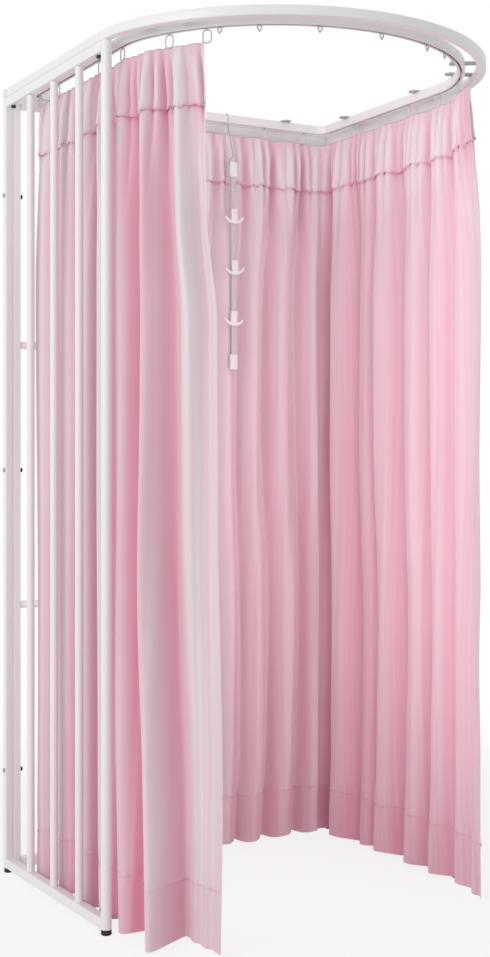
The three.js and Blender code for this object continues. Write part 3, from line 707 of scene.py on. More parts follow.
class Finishes:
    """Every material of the room, and the call that dresses a piece in one."""

    def __init__(self) -> None:
        """Builds the shared groups and the materials."""
        effects = Effects()
        metal = {"wear": 0.4, "dust": 0.15}
        kinds = {
            "paint": Paint("white_powder_coat", Slot.PAINT, (248, 248, 247), (214, 212, 208)),
            "track": Paint("track_coat", Slot.TRACK, (244, 243, 242), (205, 203, 200), roughness=0.42),
            "clear": Paint("clear_plastic", Slot.CLEAR, (226, 230, 233), (205, 208, 210), roughness=0.22,
                           wear=0.1, dust=0.1, transmission=0.45),
            "loop": Paint("loop_plastic", Slot.CLEAR, (222, 222, 221), (198, 197, 196), roughness=0.35,
                          wear=0.1, dust=0.1, transmission=0.15),
            "hook": Paint("gloss_plastic", Slot.HOOK, (246, 246, 245), (222, 221, 218), roughness=0.24,
                          wear=0.15, dust=0.12, peel_scale=300.0, coat=0.25),
            "rubber": Paint("foot_rubber", Slot.RUBBER, (26, 26, 27), (70, 68, 66), roughness=0.78,
                            wear=0.5, dust=0.3, peel_scale=500.0, peel_depth=0.0001),
            "screw": Paint("dark_screw", Slot.RUBBER, (42, 41, 43), (120, 118, 116), roughness=0.4,
                           metallic=0.6, wear=0.7, dust=0.15),
            "bolt": Paint("zinc_bolt", Slot.WIRE, (178, 178, 180), (130, 128, 126), roughness=0.42,
                          metallic=0.55, **metal),
            # the link plates' mid-grey is painted shade on white plates seen from below
            "plate": Paint("zinc_plate", Slot.WIRE, (176, 175, 175), (150, 148, 146), roughness=0.46,
                           metallic=0.45, **metal),
            "wire": Paint("drawn_wire", Slot.WIRE, (176, 178, 181), (138, 136, 134), roughness=0.3,
                          metallic=0.85, wear=0.3, dust=0.1),
            "cloth": Satin(),
        }
        self.slots = {word: kind.slot for word, kind in kinds.items()}
        self.materials = {word: kind.build(effects) for word, kind in kinds.items()}

    def dress(self, obj: bpy.types.Object, word: str, body: str = FRAME_BODY,
              *replaced: str) -> bpy.types.Object:
        """Gives a piece its material, lets it ride on a body and stand for CAD nodes.

        Args:
            obj: The piece.
            word: Which finish.
            body: The body that carries it.
            *replaced: Nodes that it stands for.

        Returns:
            The piece.
        """
        obj.data.materials.append(self.materials[word])
        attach(obj, body)
        if replaced:
            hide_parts(*replaced)
        LOG.info("%s: %d faces on %s", obj.name, len(obj.data.polygons), body)
        return obj


# Plan lines


@dataclass(frozen=True)
class PlanLine:
    """A line in plan: its points and, at each one, the direction that points into the room."""

    points: Array
    inward: Array

    @staticmethod
    def straight(start: tuple[float, float], end: tuple[float, float], inward: tuple[float, float],
                 steps: int = 1) -> "PlanLine":
        """A straight run: start + share * (end - start).

        Args:
            start: First point.
            end: Last point.
            inward: Direction into the room.
            steps: Steps between them.

        Returns:
            The line.
        """
        share = np.linspace(0, 1, steps + 1)[:, None]
        points = np.array(start) + share * (np.array(end) - np.array(start))
        return PlanLine(points, np.repeat(np.array([inward], dtype=float), steps + 1, axis=0))

    @staticmethod
    def arc(centre: tuple[float, float], radius: float, start: float, end: float, steps: int) -> "PlanLine":
        """A round run: centre + radius * (cos, sin) of angles from start to end, in radians.

        Args:
            centre: Middle of the circle.
            radius: Its radius.
            start: First angle.
            end: Last angle.
            steps: Steps between them.

        Returns:
            The line.
        """
        turn = np.linspace(start, end, steps + 1)
        out = np.stack([np.cos(turn), np.sin(turn)], axis=1)
        return PlanLine(np.array(centre) + radius * out, -out)

    @staticmethod
    def joined(*lines: "PlanLine") -> "PlanLine":
        """Runs one after the other, each start point dropped where it repeats the last end.

        Args:
            *lines: The runs, in order.

        Returns:
            The line.
        """
        points = np.concatenate([lines[0].points, *(line.points[1:] for line in lines[1:])])
        inward = np.concatenate([lines[0].inward, *(line.inward[1:] for line in lines[1:])])
        return PlanLine(points, inward)

    def lengths(self) -> Array:
        """Distance along the line of each of its points."""
        steps = np.linalg.norm(np.diff(self.points, axis=0), axis=1)
        return np.concatenate([[0.0], np.cumsum(steps)])

    def at(self, along: Array) -> "PlanLine":
        """The line at given distances, straight between its own points.

        Args:
            along: Distances from the line's start.

        Returns:
            The places there, in the shape of the distances.
        """
        known = self.lengths()
        points = np.stack([np.interp(along, known, self.points[:, k]) for k in (0, 1)], axis=-1)
        inward = np.stack([np.interp(along, known, self.inward[:, k]) for k in (0, 1)], axis=-1)
        return PlanLine(points, inward / np.linalg.norm(inward, axis=-1, keepdims=True))

    def swept(self, outline: Array, z: float) -> Shell:
        """A bar along the line; its outline's first direction points inward, its second up.

        Args:
            outline: (m, 2) points of the section.
            z: Height that the outline's second direction starts from.

        Returns:
            The closed shell.
        """
        plan = self.points[:, None] + outline[None, :, :1] * self.inward[:, None]
        height = np.broadcast_to(outline[None, :, 1] + z, plan.shape[:2])
        return lofted(np.concatenate([plan, height[..., None]], axis=-1))


@dataclass(frozen=True)
class RoomPlan:
    """The ring's outer line in plan: straight back and sides, round shoulders and a round crown."""

    half_width: float
    back_y: float
    tangent_y: float
    front_y: float
    top_z: float
    shoulder_radius: float = 0.300

    @staticmethod
    def from_frame() -> "RoomPlan":
        """The plan read from the boxes of the ring tubes.

        Returns:
            The plan.
        """
        back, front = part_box("ring_tube_back"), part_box("ring_tube_front")
        return RoomPlan(float(back[1][0]), float(back[1][1]), float(front[1][1]), float(front[0][1]),
                        float(back[1][2]))

    @property
    def rise(self) -> float:
        """How far the bent front comes forward of the straight sides."""
        return self.tangent_y - self.front_y

    @property
    def crown_radius(self) -> float:
        """Radius of the crown that touches both shoulders and the front."""
        across = self.half_width - self.shoulder_radius
        return (across**2 + self.rise**2 - self.shoulder_radius**2) / (2 * (self.rise - self.shoulder_radius))

    @property
    def crown_y(self) -> float:
        """The crown's centre on the Y axis."""
        return self.tangent_y + self.crown_radius - self.rise

    @property
    def crown_angle(self) -> float:
        """Half the angle that the crown spans, in radians."""
        return math.atan2(self.half_width - self.shoulder_radius, self.crown_radius - self.rise)

    def side(self, offset: float, side: int, start_y: float, end_y: float) -> PlanLine:
        """A run along one straight side at an offset inside the ring's outer face."""
        x = side * (self.half_width - offset)
        return PlanLine.straight((x, start_y), (x, end_y), (-side, 0.0))

    def back(self, offset: float, start_x: float, end_x: float) -> PlanLine:
        """A run along the straight back at an offset inside the ring's outer face."""
        y = self.back_y - offset
        return PlanLine.straight((start_x, y), (end_x, y), (0.0, -1.0))

    def corner(self, offset: float, radius: float, side: int, steps: int = 12) -> PlanLine:
        """A rear corner, from the back to a side.

        Args:
            offset: Distance inside the ring's outer face.
            radius: Radius of the corner.
            side: Which side it leads to.
            steps: Steps in the quarter circle.

        Returns:
            The line.
        """
        centre = (side * (self.half_width - offset - radius), self.back_y - offset - radius)
        end = 0.0 if side == RIGHT else math.pi
        return PlanLine.arc(centre, radius, math.pi / 2, end, steps)

    def front(self, offset: float, side: int, end_angle: float, steps: int = 90) -> PlanLine:
        """The bent front from one side's end over its shoulder to an angle on the crown.

        Args:
            offset: Distance inside the ring's outer face.
            side: Where it starts.
            end_angle: Angle from the middle of the crown, in radians, positive to the right.
            steps: Steps on the crown.

        Returns:
            The line.
        """
        turn = math.pi / 2 - self.crown_angle
        start = 0.0 if side == RIGHT else math.pi
        end = start - side * turn
        shoulder = PlanLine.arc((side * (self.half_width - self.shoulder_radius), self.tangent_y),
                                self.shoulder_radius - offset, start, end, steps // 5)
        last = end_angle - math.pi / 2 if side == RIGHT else end_angle + 3 * math.pi / 2
        crown = PlanLine.arc((0.0, self.crown_y), self.crown_radius - offset, end, last, steps)
        return PlanLine.joined(shoulder, crown)

    def whole_front(self, offset: float) -> PlanLine:
        """The whole bent front, left to right: one half and its mirror image.

        Args:
            offset: Distance inside the ring's outer face.

        Returns:
            The line, from left to right.
        """
        half = self.front(offset, LEFT, 0.0)
        flip = np.array([-1.0, 1.0])
        mirrored = PlanLine(half.points[::-1] * flip, half.inward[::-1] * flip)
        return PlanLine.joined(half, mirrored)

    def on_crown(self, offset: float, angle: float) -> PlanLine:
        """One place on the crown, at an angle from its middle."""
        out = np.array([[math.sin(angle), -math.cos(angle)]])
        return PlanLine(np.array([[0.0, self.crown_y]]) + (self.crown_radius - offset) * out, -out)


# Frame


WELD_BEAD = 0.0012


def pipe_profile(radius: float, low: float, high: float, bead: float = WELD_BEAD) -> Array:
    """Profile of an upright bar whose ends widen into a small weld bead.

    Args:
        radius: Radius of the bar.
        low: Height of its lower end.
        high: Height of its upper end.
        bead: How far the ends widen.

    Returns:
        (n, 2) radii and heights.
    """
    rise = np.linspace(0, np.pi / 2, 5)
    flare = bead * (1 - np.sin(rise))
    step = bead * (1 - np.cos(rise))
    lower = np.column_stack([radius + flare, low + step])
    upper = np.column_stack([radius + flare, high - step])[::-1]
    return np.concatenate([lower, upper])


def capped_profile(radius: float, low: float, high: float, chamfer: float) -> Array:
    """Profile of a round piece with a chamfer at both ends."""
    return np.array([[radius - chamfer, low], [radius, low + chamfer], [radius, high - chamfer],
                     [radius - chamfer, high]])


def node_box(node: str) -> tuple[Array, Array, Array, Array]:
    """A node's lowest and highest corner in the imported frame, its size and its middle."""
    low, high = (np.array(corner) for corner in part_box(node))
    return low, high, high - low, (low + high) / 2


def square_tube(node: str, finishes: Finishes, along: Axis, radius: float) -> None:
    """A square tube in the place of its node: one rounded outline carried along its axis.

    Args:
        node: The tube's node.
        finishes: The materials.
        along: Its direction.
        radius: Corner radius.
    """
    _, _, size, middle = node_box(node)
    aim, first, second = np.array(along.value, dtype=float)
    ends = middle + np.array([[-0.5], [0.5]]) * (size @ aim) * aim
    shell = bar_along(ends, rounded_outline(size @ first, size @ second, radius), along.value[1])
    finishes.dress(object_from(f"{node}_tube", shell), "paint", FRAME_BODY, node)


def round_tube(node: str, finishes: Finishes, along: Axis, bead: float = WELD_BEAD) -> None:
    """A round tube in the place of its node, whose ends widen into weld beads.

    Args:
        node: The tube's node.
        finishes: The materials.
        along: Its direction.
        bead: How far its ends widen.
    """
    low, high, size, middle = node_box(node)
    aim, _, second = np.array(along.value, dtype=float)
    profile = pipe_profile(size @ second / 2, low @ aim, high @ aim, bead)
    shell = turned(profile, tuple(middle * (1 - aim)), along)
    finishes.dress(object_from(f"{node}_tube", shell), "paint", FRAME_BODY, node)


@dataclass
class SidePanel:
    """A barred side panel with its feet and the bolts that hold the ring down on it."""

    side: int
    finishes: Finishes
    corner_radius: float = 0.0022
    ring_bolt_radius: float = 0.0062
    ring_bolt_drop: float = 0.006
    ring_bolt_setbacks: tuple[float, float] = (0.022, 0.028)
    foot_groove: float = 0.0008
    foot_chamfer: float = 0.0015
    foot_waist: float = 0.55
    stem_radius: float = 0.004
    fit: float = 0.0003

    @property
    def word(self) -> str:
        """The side's name."""
        return WORDS[self.side]

    def build(self) -> None:
        """Makes the posts, rails, bars, feet and bolts."""
        square_tube(f"{self.word}_rear_post", self.finishes, Axis.Z, self.corner_radius)
        round_tube(f"{self.word}_front_post", self.finishes, Axis.Z, bead=0.0)
        for place in ("top", "bottom"):
            square_tube(f"{self.word}_{place}_rail", self.finishes, Axis.Y, self.corner_radius)
        for number in (1, 2, 3):
            round_tube(f"{self.word}_bar_{number}", self.finishes, Axis.Z)
        for place in ("rear", "front"):
            self.foot(place)
        self.ring_bolts()

    def foot(self, place: str) -> None:
        """A levelling foot: a chamfered rubber pad with a groove round it, and its stem.

        Args:
            place: "rear" or "front".
        """
        node = f"{self.word}_{place}_foot"
        low, high, size, middle = node_box(node)
        pad_top = float(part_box(f"{self.word}_{place}_post")[0][2]) - self.fit
        radius, waist = size[0] / 2, pad_top * self.foot_waist
        groove, chamfer = self.foot_groove, self.foot_chamfer
        profile = np.array([
            [radius - chamfer, low[2]], [radius, low[2] + chamfer], [radius, waist - groove],
            [radius - groove, waist], [radius, waist + groove], [radius, pad_top - chamfer],
            [radius - chamfer, pad_top], [self.stem_radius, pad_top], [self.stem_radius, high[2]],
        ])
        shell = turned(profile, (middle[0], middle[1], 0.0), Axis.Z)
        self.finishes.dress(object_from(f"{node}_pad", shell), "rubber", f"foot_{self.word}_{place}", node)

    def ring_bolts(self) -> None:
        """Two dark bolt heads under the top rail, near the posts."""
        low, high, _, middle = node_box(f"{self.word}_top_rail")
        front_face = float(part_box(f"{self.word}_front_post")[1][1])
        behind, ahead = self.ring_bolt_setbacks
        profile = capped_profile(self.ring_bolt_radius, low[2] - self.ring_bolt_drop, low[2] + 0.0002, 0.001)
        for place, y in {"rear": high[1] - behind, "front": front_face + ahead}.items():
            shell = turned(profile, (middle[0], y, 0.0), Axis.Z, sides=24)
            self.finishes.dress(object_from(f"{self.word}_{place}_ring_bolt", shell), "screw")


@dataclass
class BackPanel:
    """Two square posts, two square rails and two round rails, bolted to the side panels."""

    finishes: Finishes
    corner_radius: float = 0.0022
    bolt_heights: tuple[float, float, float] = (1.729, 1.028, 0.261)
    bolt_radius: float = 0.0058
    head_height: float = 0.0035
    nut_height: float = 0.008

    def build(self) -> None:
        """Makes the posts, the rails and the corner bolts."""
        for word in WORDS.values():
            square_tube(f"back_{word}_post", self.finishes, Axis.Z, self.corner_radius)
        for place in ("top", "bottom"):
            square_tube(f"back_{place}_rail", self.finishes, Axis.X, self.corner_radius)
        for place in ("upper", "lower"):
            round_tube(f"back_mid_rail_{place}", self.finishes, Axis.X)
        for side in (LEFT, RIGHT):
            for number, z in enumerate(self.bolt_heights, start=1):
                self.corner_bolt(side, number, z)

    def corner_bolt(self, side: int, number: int, z: float) -> None:
        """A bolt through both posts of a corner: a pan head outside, a dark cap nut inside.

        Args:
            side: LEFT or RIGHT.
            number: Its number from the top.
            z: Its height.
        """
        word = WORDS[side]
        outer = side * np.abs(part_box(f"{word}_rear_post"))[:, 0].max()
        inner = side * np.abs(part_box(f"back_{word}_post"))[:, 0].min()
        y = node_box(f"{word}_rear_post")[3][1]
        radius, head, nut = self.bolt_radius, side * self.head_height, -side * self.nut_height
        profiles = {
            "head": (outer, "bolt", [[radius - 0.001, 0.0], [radius, head * 0.4], [radius, head * 0.8],
                                     [radius - 0.001, head]]),
            "nut": (inner, "screw", [[radius, 0.0], [radius, nut * 0.6], [radius * 0.75, nut * 0.9],
                                     [radius * 0.4, nut]]),
        }
        for part, (x, finish, profile) in profiles.items():
            shell = turned(np.array(profile), (x, y, z), Axis.X, sides=24)
            self.finishes.dress(object_from(f"{word}_corner_bolt_{number}_{part}", shell), finish)


@dataclass
class Ring:
    """The square ring tube in four runs, with flat plugs in the open ends of the back run."""

    plan: RoomPlan
    finishes: Finishes
    tube: float = 0.022
    corner_radius: float = 0.0032
    plug_rim: float = 0.0012
    plug_clearance: float = 0.001

    def build(self) -> None:
        """Makes the four runs and the two plugs."""
        outline = rounded_outline(self.tube, self.tube, self.corner_radius)
        middle, z = self.tube / 2, self.plan.top_z - self.tube / 2
        hw = self.plan.half_width
        runs = {
            "ring_tube_back": self.plan.back(middle, -hw, hw),
            "ring_tube_front": self.plan.whole_front(middle),
        }
        for side, word in WORDS.items():
            low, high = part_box(f"ring_tube_{word}")
            runs[f"ring_tube_{word}"] = self.plan.side(middle, side, float(high[1]), float(low[1]))
        for node, line in runs.items():
            self.finishes.dress(object_from(f"{node}_run", line.swept(outline, z)), "paint", FRAME_BODY, node)
        across = self.tube - self.plug_clearance
        plug = rounded_outline(across, across, self.corner_radius, 4)
        for side, word in WORDS.items():
            path = np.array([[side * x, self.plan.back_y - middle, z] for x in (hw, hw + self.plug_rim)])
            shell = bar_along(path, plug, (0.0, 1.0, 0.0))
            self.finishes.dress(object_from(f"ring_plug_{word}", shell), "track")


@dataclass
class Track:
    """The curtain channel, open below with a slot, and the plates that hang it from the ring."""

    plan: RoomPlan
    finishes: Finishes
    setback: float = 0.050
    width: float = 0.018
    height: float = 0.022
    drop: float = 0.004
    wall: float = 0.0016
    slot: float = 0.006
    edge: float = 0.0008
    corner_radius: float = 0.036
    fit: float = 0.0003
    plate_start: float = 0.0226
    plate_width: float = 0.028
    plate_thickness: float = 0.003
    plate_sink: float = 0.001
    plate_edge: float = 0.0006
    plate_taper: tuple[float, float] = (0.995, 0.97)
    plate_overhang: float = 0.020
    plate_back_x: float = 0.305
    plate_side_ys: tuple[float, float] = (-0.003, 0.323)
    plate_crown_shares: tuple[float, ...] = (-0.972, -0.787, 0.787, 0.972)
    rivet_radius: float = 0.0042
    rivet_rise: float = 0.0019

    @property
    def offset(self) -> float:
        """Distance of the track's middle line inside the ring's outer face."""
        return self.setback + self.width / 2

    @property
    def top(self) -> float:
        """Height of the track's top."""
        return self.plan.top_z - self.drop

    @property
    def bottom(self) -> float:
        """Height of the track's lower face."""
        return self.top - self.height

    def outline(self) -> Array:
        """Section of the channel: a box with thin walls and a slot in its floor, its outer corners cut.

        Returns:
            (16, 2) points, across and up.
        """
        w, s, e = self.width / 2, self.slot / 2, self.edge
        inner, low, high = w - self.wall, self.bottom, self.top
        lip, roof = low + self.wall, high - self.wall
        half = np.array([[inner, roof], [inner, lip], [s, lip], [s, low], [w - e, low], [w, low + e],
                         [w, high - e], [w - e, high]])
        return np.concatenate([half[3::-1] * [-1, 1], half, half[:3:-1] * [-1, 1]])

    def build(self) -> None:
        """Makes the four channel runs and the ten plates."""
        corner_y = self.plan.back_y - self.offset - self.corner_radius
        corners = {side: self.plan.corner(self.offset, self.corner_radius, side) for side in (LEFT, RIGHT)}
        left = PlanLine(corners[LEFT].points[::-1], corners[LEFT].inward[::-1])
        runs = {"track_back": PlanLine.joined(left, corners[RIGHT])}
        for side, word in WORDS.items():
            low, high = corner_y - self.fit, self.plan.tangent_y + self.fit
            runs[f"track_{word}"] = self.plan.side(self.offset, side, low, high)
        runs["track_front"] = self.plan.whole_front(self.offset)
        for node, line in runs.items():
            self.finishes.dress(object_from(f"{node}_channel", line.swept(self.outline(), 0.0)), "track",
                                FRAME_BODY, node)
        for name, place in self.plate_places().items():
            self.plate(name, place)

    def plate_places(self) -> dict[str, PlanLine]:
        """Each plate's word, and where it crosses the ring's outer face.

        Returns:
            Places by word.
        """
        places = {f"back_{word}": self.plan.back(0.0, side * self.plate_back_x, 0.0)
                  for side, word in WORDS.items()}
        for side, word in WORDS.items():
            for label, y in zip(("front", "rear"), self.plate_side_ys):
                places[f"{word}_{label}"] = self.plan.side(0.0, side, y, 0.0)
        for number, share in enumerate(self.plate_crown_shares, start=1):
            places[f"front_{number}"] = self.plan.on_crown(0.0, share * self.plan.crown_angle)
        return places

    def plate(self, name: str, place: PlanLine) -> None:
        """A flat link plate with a round end over the track, and the rivet that holds it there.

        Args:
            name: The plate's own word.
            place: Where it crosses the ring's outer face.
        """
        half, base = self.plate_width / 2, self.top - self.plate_sink
        reach = self.setback + self.width + self.plate_overhang
        turn = np.linspace(-np.pi / 2, np.pi / 2, 17)
        tip = np.column_stack([reach - half + half * np.cos(turn), half * np.sin(turn)])
        flat = np.concatenate([[[self.plate_start, -half]], tip, [[self.plate_start, half]]])
        inward, origin = place.inward[0], place.points[0]
        aside = np.array([-inward[1], inward[0]])
        middle, full = flat.mean(axis=0), (1.0, 1.0)
        heights = (0.0, self.plate_edge, self.plate_thickness - self.plate_edge, self.plate_thickness)
        rings = []
        for height, size in zip(heights, (self.plate_taper, full, full, self.plate_taper)):
            local = middle + (flat - middle) * np.array(size)
            plan = origin + local[:, :1] * inward + local[:, 1:] * aside
            rings.append(np.column_stack([plan, np.full(len(plan), base + height)]))
        self.finishes.dress(object_from(f"link_plate_{name}", lofted(np.stack(rings))), "plate")
        spot = origin + self.offset * inward
        dome = np.linspace(0, np.pi / 2, 6)[:-1]
        head = np.column_stack([self.rivet_radius * np.cos(dome),
                                base + self.plate_thickness + self.rivet_rise * np.sin(dome)])
        rivet = turned(head, (spot[0], spot[1], 0.0), Axis.Z, sides=20)
        self.finishes.dress(object_from(f"plate_rivet_{name}", rivet), "bolt")


# Curtain rings


LEAD_SHARES = {LEFT: -0.721, RIGHT: 0.769}  # the leading rings' places, as shares of the crown's half angle
SECOND_SHARES = {LEFT: -0.893, RIGHT: 0.95}


@dataclass
class Rings:
    """Gliders in the track: free ones with an empty eye, and ones whose wire loop carries cloth."""

    plan: RoomPlan
    track: Track
    finishes: Finishes
    cloth_top: float
    free_shares: tuple[float, ...] = (-0.668, -0.505, -0.261, 0.015, 0.282, 0.43, 0.519)
    left_side_ys: tuple[float, ...] = (0.291, 0.168, 0.039)
    right_side_ys: tuple[float, ...] = (0.300, 0.045)
    back_xs: tuple[float, ...] = (-0.263, 0.245)
    more_left_ys: tuple[float, ...] = (0.408, -0.083)
    more_right_ys: tuple[float, ...] = (0.172, -0.083)
    more_back_xs: tuple[float, ...] = (-0.390, -0.136, -0.009, 0.118, 0.372)
    head: tuple[float, float, float] = (0.008, 0.011, 0.006)
    head_rounding: float = 0.0015
    fit: float = 0.0003
    stem_radius: float = 0.0019
    wire_radius: float = 0.0016
    loop_width: float = 0.020
    loop_stem: float = 0.004
    loop_neck: float = 0.0045
    loop_bend: float = 0.0060
    loop_sink: float = 0.0015
    eye_width: float = 0.0125
    eye_drop: float = 0.0125
    eye_gap: float = 0.001

    def build(self) -> None:
        """Makes every ring, on the track's middle line."""
        offset, plan = self.track.offset, self.plan
        for number, share in enumerate(self.free_shares, start=1):
            place = plan.on_crown(offset, share * plan.crown_angle)
            self.free_ring(f"free_glider_{number}", place, f"free_ring_{number}")
        for side, word in WORDS.items():
            moving = {"lead": (LEAD_SHARES[side], f"{word}_curtain_lead"),
                      "second": (SECOND_SHARES[side], f"{word}_second_ring")}
            for order, (share, body) in moving.items():
                place = plan.on_crown(offset, share * plan.crown_angle)
                self.loop_ring(f"{word}_{order}_glider", place, body, replaced=True)
        for word, places, replaced in self.standing_places():
            for number, place in enumerate(places, start=1):
                self.loop_ring(f"{word}_{number}", place, FRAME_BODY, replaced)

    def standing_places(self) -> list[tuple[str, list[PlanLine], bool]]:
        """Names and places of the rings that stay with the frame, and whether they are nodes.

        Returns:
            (word, places, replaced) for each kind.
        """
        return [
            ("left_side_glider", self.on_side(LEFT, self.left_side_ys), True),
            ("right_side_glider", self.on_side(RIGHT, self.right_side_ys), True),
            ("back_glider", self.on_back(self.back_xs), True),
            ("left_side_ring", self.on_side(LEFT, self.more_left_ys), False),
            ("right_side_ring", self.on_side(RIGHT, self.more_right_ys), False),
            ("back_ring", self.on_back(self.more_back_xs), False),
        ]

    def on_side(self, side: int, ys: tuple[float, ...]) -> list[PlanLine]:
        """Places on one side's track."""
        return [self.plan.side(self.track.offset, side, y, y - self.loop_width) for y in ys]

    def on_back(self, xs: tuple[float, ...]) -> list[PlanLine]:
        """Places on the back track."""
        return [self.plan.back(self.track.offset, x, x + self.loop_width) for x in xs]

    @staticmethod
    def placed(shell: Shell, place: PlanLine) -> Shell:
        """A shell drawn at the origin, moved so that its Y points inward at the place.

        Args:
            shell: The shell at the origin.
            place: One place on the track.

        Returns:
            The moved shell, its faces outward.
        """
        inward, origin = place.inward[0], place.points[0]
        along = np.array([inward[1], -inward[0]])
        plan = origin + shell.points[:, :1] * along + shell.points[:, 1:2] * inward
        return Shell(np.column_stack([plan, shell.points[:, 2]]), shell.faces).outward()

    def slider(self, reach: float) -> Shell:
        """The plastic slider: a rounded head in the channel and a stem through the slot.

        Args:
            reach: How far the stem comes out below the track.

        Returns:
            The shell at the origin.
        """
        low = self.track.bottom + self.track.wall + self.fit
        wide, deep, tall = self.head
        half = np.array([wide / 2, deep / 2])
        head = rounded_block(np.append(-half, low), np.append(half, low + tall), self.head_rounding)
        radius, tip = self.stem_radius, self.track.bottom - reach
        profile = np.array([[radius * 0.8, tip], [radius, tip + 0.001], [radius, low + 0.001]])
        return head.merged(turned(profile, (0.0, 0.0, 0.0), Axis.Z, sides=16))

    def free_ring(self, node: str, place: PlanLine, body: str) -> None:
        """A free ring: the slider and a drop-shaped eye, wide above and pointed below.

        At an angle t from its top the eye's line stands at x = half width * sin t * (0.62 + 0.38 cos t)
        and z = middle + half height * cos t.

        Args:
            node: The ring's node.
            place: Where it hangs.
            body: The body that carries it.
        """
        turn = np.linspace(0, 2 * np.pi, 40, endpoint=False)
        wide, tall = self.eye_width / 2, self.eye_drop / 2
        across = wide * np.sin(turn) * (0.62 + 0.38 * np.cos(turn))
        height = self.track.bottom - tall - self.eye_gap + tall * np.cos(turn)
        drop = np.column_stack([across, np.zeros(len(turn)), height])
        eye = bar_along(drop, circle(self.wire_radius * 1.15, 10), (0.0, 1.0, 0.0), closed=True)
        shell = self.placed(self.slider(self.eye_gap).merged(eye), place)
        self.finishes.dress(object_from(f"{node}_ring", shell), "clear", body, node)

    def loop_ring(self, name: str, place: PlanLine, body: str, replaced: bool) -> None:
        """A carrying ring: the slider, and a loop with a round arch down to the cloth's top edge.

        Args:
            name: The ring's name, which is its node's where it has one.
            place: Where it hangs.
            body: The body that carries it.
            replaced: True where it stands for a node.
        """
        slider = self.placed(self.slider(self.loop_stem), place)
        half, low = self.loop_width / 2, self.cloth_top - self.loop_sink
        neck = self.track.bottom - self.loop_neck
        right = [(0.9 * half, low), (half, neck - 0.35 * (neck - low)), (0.8 * half, neck - 0.001)]
        corners = [(0.0, neck), *((-x, z) for x, z in right[::-1]), *right, (0.0004, neck)]
        path = bent_path([(x, 0.0, z) for x, z in corners], self.loop_bend)
        wire = bar_along(path, circle(self.wire_radius, 10), (0.0, 1.0, 0.0))
        nodes = (name,) if replaced else ()
        self.finishes.dress(object_from(f"{name}_slider", slider), "clear", body, *nodes)
        self.finishes.dress(object_from(f"{name}_loop", self.placed(wire, place)), "loop", body)


# Curtains


@dataclass(frozen=True)
class Fold:
    """A ridge or valley of the cloth, in metres, at the top and at the hem.

    Its place is the distance along the cloth, its depth how far inside the line it stands.
    """

    top: float
    hem: float
    top_depth: float
    hem_depth: float

    def at(self, lowered: Array, growth: Array) -> tuple[Array, Array]:
        """Its place and depth, from the top's (lowered 0) to the hem's (1), with the depth times growth."""
        depth = self.top_depth + (self.hem_depth - self.top_depth) * lowered
        return self.top + (self.hem - self.top) * lowered, growth * depth


@dataclass(frozen=True)
class ShadeKnot:
    """Painted light and shade of the cloth at a share of its length.

    The base is its paleness halfway up a fold, ridge is the painted highlight that a ridge adds and
    the painted shade that a valley takes, flank what a slope adds as painted light from one side, and
    depth the depth of fold at which ridge counts in full.
    """

    place: float
    base: float
    ridge: float
    flank: float
    depth: float


class Wander(Enum):
    """Seeded wanders of the cloth, as (amount, typical wave in metres, step of the seed)."""

    GATHER_PLACE = (0.30, 0.17, 0)
    GATHER_DEPTH = (0.28, 0.10, 1)
    FOLD_LEAN = (0.007, 0.42, 3)
    FOLD_DEPTH = (0.10, 0.33, 5)
    CREASE = (0.0011, 0.035, 6)
    PUCKER = (1.7, 0.06, 7)
    HEM_HEIGHT = (0.003, 0.3, 8)
    TOOTH_PLACE = (0.6, 0.13, 9)
    HEADER_EDGE = (0.0015, 0.05, 10)
    STREAK = (0.05, 0.030, 12)
    FINE_STREAK = (0.04, 0.011, 13)


